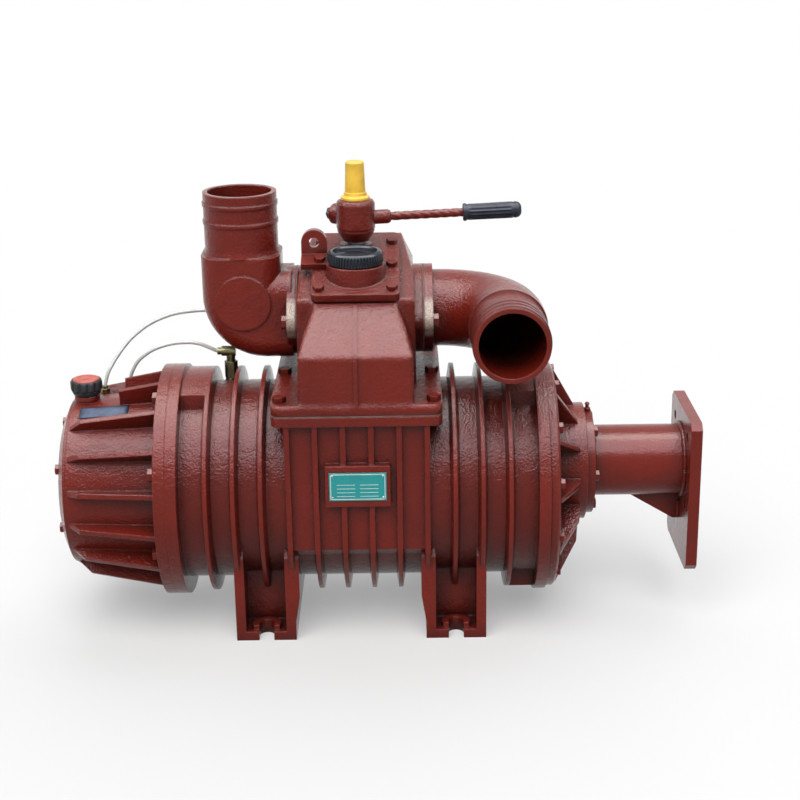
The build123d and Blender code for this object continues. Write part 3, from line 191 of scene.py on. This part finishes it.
def add_floor():
    """Pale paper that keeps the pump's shadow and gives the pump itself less light from below."""
    mesh = bpy.data.meshes.new("floor")
    s = FLOOR_HALF
    mesh.from_pydata([(-s, -s, 0), (s, -s, 0), (s, s, 0), (-s, s, 0)], [], [(0, 1, 2, 3)])
    floor = bpy.data.objects.new("floor", mesh)
    scene.collection.objects.link(floor)
    mat = bpy.data.materials.new("floor_paper")
    mat.use_nodes = True
    tree = mat.node_tree
    tree.nodes.clear()
    out = tree.nodes.new("ShaderNodeOutputMaterial")
    bounce = tree.nodes.new("ShaderNodeBsdfDiffuse")
    bounce.inputs["Color"].default_value = grey(FLOOR_BOUNCE)
    paper = tree.nodes.new("ShaderNodeBsdfDiffuse")
    paper.inputs["Color"].default_value = grey(FLOOR_SHADE)
    glow = tree.nodes.new("ShaderNodeEmission")
    glow.inputs["Strength"].default_value = FLOOR_GLOW
    both = tree.nodes.new("ShaderNodeAddShader")
    mix = tree.nodes.new("ShaderNodeMixShader")
    tree.links.new(paper.outputs[0], both.inputs[0])
    tree.links.new(glow.outputs[0], both.inputs[1])
    tree.links.new(shown(tree), mix.inputs[0])
    tree.links.new(bounce.outputs[0], mix.inputs[1])
    tree.links.new(both.outputs[0], mix.inputs[2])
    tree.links.new(mix.outputs[0], out.inputs["Surface"])
    mesh.materials.append(mat)


add_camera()
add_world()
add_floor()
add_sky_lamp("key", -14.0, 56.0, 60.0, 3.3, (1.0, 0.99, 0.97))
add_sky_lamp("back", 165.0, 52.0, 60.0, 1.5, (0.97, 0.98, 1.0))
add_panel("panel_front", (0.0, -1.15, 2.2), (0.0, -1.15, 0.3), 5.0, 2.1, 285.0, (0.93, 0.93, 1.0))
add_panel("panel_over", (0.0, 0.3, 2.2), (0.0, 0.3, 0.3), 5.0, 0.8, 190.0, (1.0, 0.98, 0.95))


# ---------------------------------------------------------------- materials
class Nodes:
    """A new material and short ways to add nodes to it."""

    def __init__(self, name):
        self.mat = bpy.data.materials.new(name)
        self.mat.use_nodes = True
        self.tree = self.mat.node_tree
        self.bsdf = self.tree.nodes["Principled BSDF"]
        self.place = self.add("ShaderNodeTexCoord").outputs["Object"]

    def add(self, kind, **values):
        node = self.tree.nodes.new(kind)
        for key, value in values.items():
            setattr(node, key, value)
        return node

    def link(self, a, b):
        self.tree.links.new(a, b)

    def feed(self, socket, source):
        """Links a source to one of the shader's own sockets."""
        self.link(source, self.bsdf.inputs[socket])

    def set(self, **values):
        for key, value in values.items():
            self.bsdf.inputs[key.replace("_", " ")].default_value = value

    def noise(self, scale, detail=2.0, rough=0.5, place=None):
        node = self.add("ShaderNodeTexNoise")
        node.inputs["Scale"].default_value = scale
        node.inputs["Detail"].default_value = detail
        node.inputs["Roughness"].default_value = rough
        self.link(self.place if place is None else place, node.inputs["Vector"])
        return node.outputs["Fac"]

    def ramp(self, source, low, high, a=0.0, b=1.0):
        node = self.add("ShaderNodeMapRange")
        node.inputs["From Min"].default_value = low
        node.inputs["From Max"].default_value = high
        node.inputs["To Min"].default_value = a
        node.inputs["To Max"].default_value = b
        self.link(source, node.inputs["Value"])
        return node.outputs["Result"]

    def mix(self, factor, a, b):
        node = self.add("ShaderNodeMix", data_type="RGBA")
        self.link(factor, node.inputs["Factor"])
        for value, socket in ((a, node.inputs["A"]), (b, node.inputs["B"])):
            if isinstance(value, tuple):
                socket.default_value = (*value, 1)
            else:
                self.link(value, socket)
        return node.outputs["Result"]

    def times(self, a, b):
        node = self.add("ShaderNodeMath", operation="MULTIPLY")
        self.link(a, node.inputs[0])
        if isinstance(b, float):
            node.inputs[1].default_value = b
        else:
            self.link(b, node.inputs[1])
        return node.outputs[0]

    def bump(self, height, distance, normal):
        node = self.add("ShaderNodeBump")
        node.inputs["Distance"].default_value = distance
        node.inputs["Strength"].default_value = 1.0
        self.link(height, node.inputs["Height"])
        self.link(normal, node.inputs["Normal"])
        return node.outputs["Normal"]

    def soft_edges(self, radius):
        """A normal rounded at sharp edges, and a mask of those edges."""
        bevel = self.add("ShaderNodeBevel", samples=8 if radius > 0.004 else 4)
        bevel.inputs["Radius"].default_value = radius
        geo = self.add("ShaderNodeNewGeometry")
        dot = self.add("ShaderNodeVectorMath", operation="DOT_PRODUCT")
        self.link(bevel.outputs[0], dot.inputs[0])
        self.link(geo.outputs["Normal"], dot.inputs[1])
        return bevel.outputs[0], self.ramp(dot.outputs["Value"], 0.99, 0.80)

    def cavities(self, reach):
        """Low where other surfaces stand within reach."""
        node = self.add("ShaderNodeAmbientOcclusion", samples=4)
        node.inputs["Distance"].default_value = reach
        return node.outputs["AO"]


def flange_glint_box(gasket, side):
    """Where a painted highlight of pale glints goes on an elbow's flange, set from its gasket's box: x0,
    x1, front, z0, z1.
    """
    low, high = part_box(gasket)
    face = low.x if side < 0 else high.x
    outer = face + side * FLANGE_DEPTH
    middle = (low.y + high.y) / 2
    level = (low.z + high.z) / 2
    half = (high.z - low.z) / 2
    return (min(face, outer), max(face, outer), middle - PATCH_FRONT,
            level - PATCH_BELOW * half, level + PATCH_ABOVE * half)


def painted_glint_mask(n, x0, x1, front, z0, z1):
    """Painted highlight: pale speckle that stands in for glints, inside a box of the object's own space,
    fading at the box's sides.
    """
    split = n.add("ShaderNodeSeparateXYZ")
    n.link(n.place, split.inputs[0])
    thin = 0.0015
    wide = 0.004
    parts = [
        n.ramp(split.outputs["X"], x0 - thin, x0 + thin),
        n.ramp(split.outputs["X"], x1 + thin, x1 - thin),
        n.ramp(split.outputs["Y"], front + wide, front - wide),
        n.ramp(split.outputs["Z"], z0 - wide, z0 + wide),
        n.ramp(split.outputs["Z"], z1 + wide, z1 - wide),
    ]
    mask = n.ramp(n.noise(620.0, 3.0, 0.7), 0.36, 0.50, 0.15, 0.9)
    for part in parts:
        mask = n.times(mask, part)
    return mask


def enamel(name, colour, grain=0.0011, sheen=0.10, edge=0.0030, glint_box=None):
    """Enamel over a rough sand casting: lumpy grain, painted shade with a dirt tone in its hollows, edges
    lighter as a painted highlight and paint wear, and pale painted glints in a given box.
    """
    n = Nodes(name)
    normal, rim = n.soft_edges(edge)
    red, green, blue = colour
    dark = tuple(c * 0.72 for c in colour)
    # pale colour for random flecks and for the painted edge highlight
    light = (red * 1.5, green * 2.2, blue * 2.6)
    hollow = (red * 0.20, green * 0.45, blue * 0.8)
    base = n.mix(n.ramp(n.noise(9.0, 4.0, 0.6), 0.35, 0.7), dark, colour)
    speck = n.ramp(n.noise(520.0, 3.0, 0.65), 0.55, 0.72, 0.0, 0.35)
    base = n.mix(speck, base, light)
    # painted highlight: lighter along sharp edges, partly paint wear
    base = n.mix(n.times(rim, 0.45), base, light)
    # painted shade: darker in hollows and near other parts, with a grey dirt tone; the wider reach goes
    # near black
    base = n.mix(n.ramp(n.cavities(0.028), 0.15, 0.92), hollow, base)
    base = n.mix(n.ramp(n.cavities(0.14), 0.02, 0.32), DEEP_SHADE, base)
    # painted highlight: pale glint speckle on the elbow flanges
    if glint_box:
        base = n.mix(painted_glint_mask(n, *glint_box), base, GLINT_PALE)
    n.feed("Base Color", base)
    n.feed("Roughness", n.ramp(n.noise(60.0, 3.0), 0.3, 0.7, 0.40, 0.60))
    lumps = n.bump(n.noise(330.0, 2.5, 0.58), grain, normal)
    lumps = n.bump(n.noise(90.0), grain * 0.9, lumps)
    n.feed("Normal", lumps)
    n.feed("Coat Normal", lumps)
    n.set(Coat_Weight=1.0, Coat_Roughness=sheen, Coat_IOR=1.27, Specular_IOR_Level=0.04)
    return n.mat


def moulded(name, colour, rough=0.32, grain=0.00006, spots=0.12, subsurface=0.0, gloss=0.22):
    """Moulded plastic or rubber with a fine grain and slight mottling."""
    n = Nodes(name)
    normal, rim = n.soft_edges(0.0008)
    pale = tuple(min(1.0, c * (1 + spots) + 0.01) for c in colour)
    dull = tuple(c * (1 - spots) for c in colour)
    edge_highlight_and_wear = tuple(min(1.0, c * 1.25 + 0.02) for c in colour)
    base = n.mix(n.ramp(n.noise(60.0, 4.0), 0.35, 0.65), dull, pale)
    # painted highlight: lighter along sharp edges, partly wear
    base = n.mix(n.times(rim, 0.4), base, edge_highlight_and_wear)
    n.feed("Base Color", base)
    n.feed("Roughness", n.ramp(n.noise(140.0, 3.0), 0.3, 0.7, rough * 0.85, rough * 1.2))
    n.feed("Normal", n.bump(n.noise(1100.0), grain, normal))
    n.set(Specular_IOR_Level=gloss, Subsurface_Weight=subsurface)
    if subsurface:
        n.set(Subsurface_Scale=0.004)
    return n.mat


def metal(name, colour, rough, stretch, tarnish, amount, metallic=1.0):
    """Machined or plated metal with stretched tool marks and light tarnish."""
    n = Nodes(name)
    normal, _ = n.soft_edges(0.0006)
    drawn = n.add("ShaderNodeVectorMath", operation="MULTIPLY")
    drawn.inputs[1].default_value = stretch
    n.link(n.place, drawn.inputs[0])
    marks = n.noise(1400.0, place=drawn.outputs[0])
    stain = n.ramp(n.noise(45.0, 5.0, 0.6), 0.45, 0.75, 0.0, amount)
    n.feed("Base Color", n.mix(stain, colour, tarnish))
    n.feed("Roughness", n.ramp(marks, 0.3, 0.7, rough * 0.75, rough * 1.3))
    n.feed("Normal", n.bump(marks, 0.00003, normal))
    n.set(Metallic=metallic)
    return n.mat


def nylon(name):
    """Milky nylon tube, smooth and slightly clear."""
    n = Nodes(name)
    cloud = n.ramp(n.noise(8.0), 0.4, 0.6)
    n.feed("Base Color", n.mix(cloud, (0.50, 0.52, 0.50), (0.57, 0.59, 0.57)))
    n.feed("Roughness", n.ramp(n.noise(60.0), 0.3, 0.7, 0.24, 0.32))
    n.set(IOR=1.50, Transmission_Weight=0.12)
    return n.mat


# stretch of the tool marks along x, y and z
ALL_WAYS = (1.0, 1.0, 1.0)
ALONG_X = (60.0 / 900.0, 1.0, 1.0)
LONG_ALONG_X = (40.0 / 900.0, 1.0, 1.0)

paint = enamel("red_enamel_casting", RED)
paint_plate = enamel("red_enamel_plate", RED, grain=0.0004, sheen=0.16, edge=0.0014)
paint_bolts = enamel("red_enamel_fasteners", RED, grain=0.0003, sheen=0.14, edge=0.0009)
gasket = moulded("gasket_fibre", (0.10, 0.085, 0.07), rough=0.8, grain=0.0002, spots=0.3)
plate_teal = metal("plate_teal_anodised", (0.012, 0.28, 0.28), 0.36, LONG_ALONG_X,
                   (0.012, 0.20, 0.21), 0.5, metallic=0.25)
plate_white = moulded("plate_border_white", (0.72, 0.78, 0.77), rough=0.45)
rubber = moulded("rubber_black", (0.014, 0.019, 0.030), rough=0.36, grain=0.00012, spots=0.2, gloss=0.16)
plastic = moulded("plastic_black_gloss", (0.014, 0.019, 0.027), rough=0.20, grain=0.00004, gloss=0.18)
plastic_dull = moulded("plastic_black_dull", (0.018, 0.018, 0.020), rough=0.45, grain=0.0001)
red_top = moulded("plastic_salmon_red", (0.45, 0.085, 0.06), rough=0.36, subsurface=0.08)
yellow = moulded("plastic_yellow", (0.80, 0.50, 0.055), rough=0.40, subsurface=0.10)
tube = nylon("nylon_tube_clear")
plated = metal("fitting_olive_plated", (0.17, 0.16, 0.085), 0.30, ALL_WAYS, (0.08, 0.075, 0.035), 0.6)
steel = metal("steel_machined", (0.33, 0.33, 0.34), 0.30, ALONG_X, (0.18, 0.17, 0.16), 0.5)
iron = metal("iron_machined", (0.24, 0.24, 0.25), 0.42, ALONG_X, (0.16, 0.15, 0.14), 0.5)
fibre = moulded("vane_laminate", (0.16, 0.10, 0.05), rough=0.55, grain=0.0001, spots=0.35)
label = moulded("label_blue_grey", (0.060, 0.082, 0.135), rough=0.5, grain=0.0001, spots=0.4, gloss=0.10)
label_edge = moulded("label_border_dark", (0.02, 0.022, 0.03), rough=0.5)
paint_upright = enamel("red_enamel_upright_elbow", RED, glint_box=flange_glint_box("upright_elbow_gasket", -1))
paint_side = enamel("red_enamel_side_elbow", RED, glint_box=flange_glint_box("side_elbow_gasket", 1))
paint_manifold = enamel("red_enamel_manifold", RED, grain=0.0013, edge=0.012)

# nodes whose finish is neither the casting's enamel nor, for bolts, the fasteners' enamel
FINISH = {
    "upright_elbow": paint_upright,
    "side_elbow": paint_side,
    "manifold_body": paint_manifold,
    "manifold_gasket": gasket,
    "upright_elbow_gasket": gasket,
    "side_elbow_gasket": gasket,
    "data_plate": plate_teal,
    "drive_tube": paint_plate,
    "drive_flange": paint_plate,
    "motor_plate": paint_plate,
    "plate_gusset": paint_plate,
    "lifting_lug": paint_plate,
    "lever_rod": paint_plate,
    "bearing_plate": paint_plate,
    "grease_nipple": paint_bolts,
    "left_bearing_outer": steel,
    "left_bearing_inner": steel,
    "right_bearing_outer": steel,
    "right_bearing_inner": steel,
    "rotor_shaft": steel,
    "coupling_sleeve": steel,
    "idler_pin": steel,
    "oil_pump_drive_gear": steel,
    "oil_pump_driven_gear": steel,
    "oil_pump_body": iron,
    "rotor_drum": iron,
    "valve_plug": iron,
    "rotor_vanes": fibre,
    "shaft_seal": rubber,
    "lever_grip": rubber,
    "lever_clamp_bolt": plastic_dull,
    "dust_cap": yellow,
    "filler_cap": plastic,
    "sump_plug": plastic_dull,
    "sump_plug_top": red_top,
    "oil_line_front": tube,
    "oil_line_rear": tube,
    "oil_line_fittings": plated,
}
for name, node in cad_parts.items():
    finish = FINISH.get(name, paint_bolts if name.endswith("_bolts") else paint)
    node.data.materials.clear()
    node.data.materials.append(finish)


# ---------------------------------------------------------------- mesh helpers
def piece(name, verts, faces, finish, body, smooth=True, replaces=()):
    """A visible piece that rides on a body, in the given finish."""
    mesh = bpy.data.meshes.new(name)
    mesh.from_pydata([tuple(v) for v in verts], [], faces)
    mesh.materials.append(finish)
    work = bmesh.new()
    work.from_mesh(mesh)
    bmesh.ops.recalc_face_normals(work, faces=work.faces)
    work.to_mesh(mesh)
    work.free()
    for face in mesh.polygons:
        face.use_smooth = smooth
    obj = bpy.data.objects.new(name, mesh)
    scene.collection.objects.link(obj)
    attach(obj, body)
    if replaces:
        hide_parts(*replaces)
    return obj


def crease(obj, degrees):
    """Keeps flat faces crisp where they meet at more than the given angle."""
    limit = math.radians(degrees)
    work = bmesh.new()
    work.from_mesh(obj.data)
    for edge in work.edges:
        if len(edge.link_faces) == 2 and edge.calc_face_angle(0) > limit:
            edge.smooth = False
    work.to_mesh(obj.data)
    work.free()


def bands(rows, sides, closed):
    """Faces between neighbouring rings, and from the last ring to the first where closed."""
    faces = []
    for i in range(rows if closed else rows - 1):
        j = (i + 1) % rows
        for k in range(sides):
            m = (k + 1) % sides
            faces.append((i * sides + k, i * sides + m, j * sides + m, j * sides + k))
    return faces


def ends(rows, sides):
    """Caps over the first and the last ring."""
    return [tuple(range(sides)), tuple((rows - 1) * sides + k for k in range(sides))]


def turned(rings, steps, place, hollow=False):
    """A turned form from rings of (height, radius or radius function of angle)."""
    verts = []
    for height, radius in rings:
        for i in range(steps):
            a = 2 * math.pi * i / steps
            r = radius(a) if callable(radius) else radius
            verts.append(place(r * math.cos(a), r * math.sin(a), height))
    faces = bands(len(rings), steps, hollow)
    if not hollow:
        faces += ends(len(rings), steps)
    return verts, faces


def add_part(verts, faces, part):
    """Adds a part's own vertices and faces to a growing mesh."""
    base = len(verts)
    verts.extend(part[0])
    faces.extend(tuple(i + base for i in face) for face in part[1])


def along(origin, way):
    """A placer for forms turned about an axis through origin."""
    turn = Vector(way).to_track_quat("Z", "Y").to_matrix()
    base = Vector(origin)
    return lambda x, y, z: base + turn @ Vector((x, y, z))


def upright(node):
    """A placer about a round node's vertical axis, and its radius, lowest and highest level."""
    low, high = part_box(node)
    cx = (low.x + high.x) / 2
    cy = (low.y + high.y) / 2
    return lambda x, y, z: (cx + x, cy + y, z), (high.x - low.x) / 2, low.z, high.z


def bead(name, points, radius, closed, seed):
    """A weld bead: overlapping ripples along a line of points."""
    rand = random.Random(seed)
    verts = []
    count = len(points)
    sides = 8
    for i, p in enumerate(points):
        nxt = points[(i + 1) % count] if closed or i < count - 1 else p
        prv = points[i - 1] if closed or i > 0 else p
        way = (Vector(nxt) - Vector(prv)).normalized()
        place = along(p, way)
        r = radius * (1 + 0.10 * math.sin(i * 1.7) + rand.uniform(-0.05, 0.05))
        if not closed and i in (0, count - 1):
            r *= 0.35
        for k in range(sides):
            a = 2 * math.pi * k / sides
            verts.append(place(r * math.cos(a), r * math.sin(a), 0))
    faces = bands(count, sides, closed)
    if not closed:
        faces += ends(count, sides)
    piece(name, verts, faces, paint_plate, HOUSING)


# ---------------------------------------------------------------- caps
def filler_cap():
    """Black cap with a knurled rim and a dished top."""
    place, r, z, top = upright("filler_cap")
    ribs = 54
    neck = r * 0.80
    seat = z + 0.010

    def knurl(a):
        return r - 0.0011 + 0.0010 * min(1.0, max(-1.0, 2.4 * math.cos(ribs * a)))

    rings = [(z, neck), (seat, neck), (seat, r - 0.0022), (seat + 0.0012, r - 0.0012)]
    rings += [(seat + 0.0024, knurl), (top - 0.0040, knurl)]
    rings += [(top - 0.0026, r - 0.0014), (top - 0.0010, r - 0.0024), (top, r - 0.0046)]
    rings += [(top - 0.0002, r - 0.0075), (top - 0.0026, r - 0.0092), (top - 0.0032, r - 0.0120)]
    rings += [(top - 0.0034, r - 0.0200), (top - 0.0026, r - 0.0215), (top - 0.0026, r - 0.0300)]
    verts, faces = turned(rings, ribs * 6, place)
    cap = piece("filler_cap_moulding", verts, faces, plastic, "filler_cap",
                replaces=["filler_cap"])
    crease(cap, 50)


def sump_cap():
    """Black cap with grip lobes and a red disc in its top, raised on a painted collar."""
    place, r, z, _ = upright("sump_plug")
    top = z + 0.0350
    seat = z + 0.0145
    stem = r * 0.44

    def lobes(a):
        return r - 0.0020 * (0.5 - 0.5 * math.cos(12 * a)) ** 3

    rings = [(z, stem), (seat, stem), (seat, r - 0.0035), (seat + 0.0030, r - 0.0022)]
    rings += [(seat + 0.0050, r - 0.0016), (seat + 0.0053, r - 0.0028), (seat + 0.0066, r - 0.0028)]
    rings += [(seat + 0.0072, lobes), (top - 0.0040, lobes), (top - 0.0018, r - 0.0012)]
    rings += [(top - 0.0006, r - 0.0020), (top - 0.0008, r - 0.0034)]
    rings += [(top - 0.0020, r - 0.0036), (top - 0.0020, 0.004)]
    verts, faces = turned(rings, 144, place)
    cap = piece("sump_plug_moulding", verts, faces, plastic_dull, "sump_plug",
                replaces=["sump_plug"])
    crease(cap, 45)

    wall = 0.0110
    foot = z + 0.0070
    crown = z + 0.0138
    rings = [(foot, wall), (foot, 0.0172), (z + 0.0122, 0.0167), (crown, 0.0154), (crown, wall)]
    verts, faces = turned(rings, 72, place, hollow=True)
    crease(piece("sump_plug_collar", verts, faces, paint_bolts, HOUSING), 50)

    rings = [(top - 0.0022, r - 0.0038), (top - 0.0002, r - 0.0038), (top + 0.0006, r - 0.0044)]
    rings += [(top + 0.0010, r - 0.0056), (top + 0.0011, r * 0.55), (top + 0.0006, r * 0.52)]
    rings += [(top + 0.0006, r * 0.30), (top + 0.0009, r * 0.26), (top + 0.0009, 0.002)]
    verts, faces = turned(rings, 96, place)
    disc = piece("sump_plug_disc", verts, faces, red_top, "sump_plug",
                 replaces=["sump_plug_top"])
    crease(disc, 40)


# ---------------------------------------------------------------- changeover lever
def lever_axis():
    """The rod's middle, its direction and its length."""
    low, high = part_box("lever_rod")
    way = Vector((math.cos(LEVER_SLOPE), 0, math.sin(LEVER_SLOPE)))
    return (low + high) / 2, way, (high.x - low.x) / math.cos(LEVER_SLOPE)


def twisted_rod():
    middle, way, length = lever_axis()
    length -= 0.0006
    spans = 150

    def ridges(turn):
        return lambda a: ROD_RADIUS + ROD_RIDGE * abs(math.cos(2 * (a - turn))) ** 0.7

    rings = []
    for i in range(spans + 1):
        s = length * i / spans
        rings.append((s, ridges(2 * math.pi * s / ROD_PITCH)))
    verts, faces = turned(rings, 32, along(middle - way * length / 2, way))
    piece("lever_rod_twisted", verts, faces, paint_bolts, LEVER, replaces=["lever_rod"])


def fluted_grip():
    middle, way, _ = lever_axis()
    low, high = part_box("lever_grip")
    x = low.x + GRIP_RADIUS * math.sin(LEVER_SLOPE)
    start = (x, (low.y + high.y) / 2, middle.z + (x - middle.x) * math.tan(LEVER_SLOPE))

    def flutes(r, depth):
        return lambda a: r - depth * (0.5 + 0.5 * math.cos(GRIP_FLUTES * a)) ** 0.6

    shallow = 0.0002
    deep = 0.0011
    rings = [(0.0006, 0.0066), (0.0002, 0.0102), (0.0010, 0.0117), (0.0042, 0.0119)]
    rings += [(0.0052, 0.0108), (0.0068, 0.0104), (0.0080, 0.0108)]
    rings += [(0.0095, flutes(0.0110, shallow)), (0.0125, flutes(0.0110, deep))]
    rings += [(0.0620, flutes(0.0112, deep)), (0.0650, flutes(0.0112, shallow))]
    rings += [(0.0662, 0.0108), (0.0672, 0.0104), (0.0684, 0.0104), (0.0692, 0.0110)]
    rings += [(0.0720, 0.0108), (0.0744, 0.0100), (0.0763, 0.0086), (0.0777, 0.0066)]
    rings += [(0.0784, 0.0045), (GRIP_LENGTH - 0.0004, 0.0018)]
    verts, faces = turned(rings, GRIP_FLUTES * 12, along(start, way))
    piece("lever_grip_fluted", verts, faces, rubber, LEVER, replaces=["lever_grip"])


# ---------------------------------------------------------------- plates
def bar(x0, x1, z0, z1, front):
    """A thin raised line on the front of a plate."""
    corners = ((x0, z0), (x1, z0), (x1, z1), (x0, z1))
    verts = [(x, y, z) for y in (front + 0.0002, front - LINE_THICK) for x, z in corners]
    faces = [(0, 1, 2, 3), (4, 7, 6, 5), (0, 4, 5, 1), (1, 5, 6, 2), (2, 6, 7, 3), (3, 7, 4, 0)]
    return verts, faces


def plate_lines():
    """A border and empty fields, as on a blank stock plate."""
    low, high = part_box("data_plate")
    verts = []
    faces = []

    def add(x0, x1, z0, z1):
        add_part(verts, faces, bar(x0, x1, z0, z1, low.y))

    inset = 0.0016
    line = 0.0009
    x0, x1 = low.x + inset, high.x - inset
    z0, z1 = low.z + inset, high.z - inset
    add(x0, x1, z0, z0 + line)
    add(x0, x1, z1 - line, z1)
    add(x0, x0 + line, z0, z1)
    add(x1 - line, x1, z0, z1)
    for row in range(4):
        z = low.z + 0.0058 + row * 0.0052
        for x in (low.x + 0.010, low.x + 0.040):
            add(x, x + 0.0235, z, z + 0.0006)
    piece("data_plate_lines", verts, faces, plate_white, HOUSING, smooth=False)


def plate_rivets():
    low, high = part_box("data_plate")
    corner = 0.0042
    head = [(0, 0.0016), (0.0006, 0.0016), (0.0011, 0.0011), (0.0013, 0.0005)]
    verts = []
    faces = []
    for x in (low.x + corner, high.x - corner):
        for z in (low.z + corner, high.z - corner):
            add_part(verts, faces, turned(head, 20, along((x, low.y + 0.0003, z), (0, -1, 0))))
    piece("data_plate_rivets", verts, faces, steel, HOUSING)


def sump_label():
    """Bare label on the upper front panel of the sump, bent to its cone."""
    low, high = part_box("sump_housing")
    x_joint = high.x - SUMP_FLANGE
    x_end = low.x
    x0 = x_end + LABEL_FROM_END
    x1 = x0 + LABEL_LENGTH
    a0, a1 = (math.radians(a) for a in LABEL_ANGLES)

    def spot(x, a, lift):
        t = (x_joint - x) / (x_joint - x_end)
        r = CONE_R_JOINT + (CONE_R_END - CONE_R_JOINT) * t + lift
        return (x, -r * math.sin(a), AXIS_Z + r * math.cos(a))

    def sheet(name, ua, ub, va, vb, lift, finish):
        nu, nv = 12, 8
        verts = []
        for level in (0.00002, lift):
            for j in range(nv + 1):
                for i in range(nu + 1):
                    verts.append(spot(ua + (ub - ua) * i / nu, va + (vb - va) * j / nv, level))
        faces = []
        step = nu + 1
        layer = step * (nv + 1)
        for j in range(nv):
            for i in range(nu):
                k = j * step + i
                faces.append((k, k + 1, k + step + 1, k + step))
                faces.append((layer + k, layer + k + step, layer + k + step + 1, layer + k + 1))
        edge = list(range(step)) + [j * step + nu for j in range(1, nv + 1)]
        edge += [nv * step + i for i in range(nu - 1, -1, -1)] + [j * step for j in range(nv - 1, 0, -1)]
        for a, b in zip(edge, edge[1:] + edge[:1]):
            faces.append((a, b, b + layer, a + layer))
        piece(name, verts, faces, finish, HOUSING)

    sheet("sump_label_border", x0, x1, a0, a1, 0.00022, label_edge)
    sheet("sump_label_face", x0 + 0.0015, x1 - 0.0015, a0 + 0.012, a1 - 0.012, 0.00036, label)


# ---------------------------------------------------------------- welds on the drive bracket
def drive_welds():
    low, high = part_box("drive_tube")
    mid = (low + high) / 2
    r = (high.z - low.z) / 2 + 0.0008
    count = 150
    joints = (("weld_tube_plate", high.x - 0.0012, 0.0034), ("weld_tube_flange", low.x + 0.0010, 0.0026))
    for name, x, thick in joints:
        ring = []
        for i in range(count):
            a = 2 * math.pi * i / count
            ring.append((x, mid.y + r * math.sin(a), mid.z + r * math.cos(a)))
        bead(name, ring, thick, True, seed=3)
    low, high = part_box("plate_gusset")
    for side, end in ((-1, "front"), (1, "back")):
        y = (low.y + high.y) / 2 + side * (high.y - low.y) / 2 + side * 0.0006
        drop = [(high.x - 0.0008, y, high.z - 0.0105 - i * 0.0011) for i in range(23)]
        bead("weld_gusset_plate_" + end, drop, 0.0028, False, seed=5 + side)


filler_cap()
sump_cap()
twisted_rod()
fluted_grip()
plate_lines()
plate_rivets()
sump_label()
drive_welds()
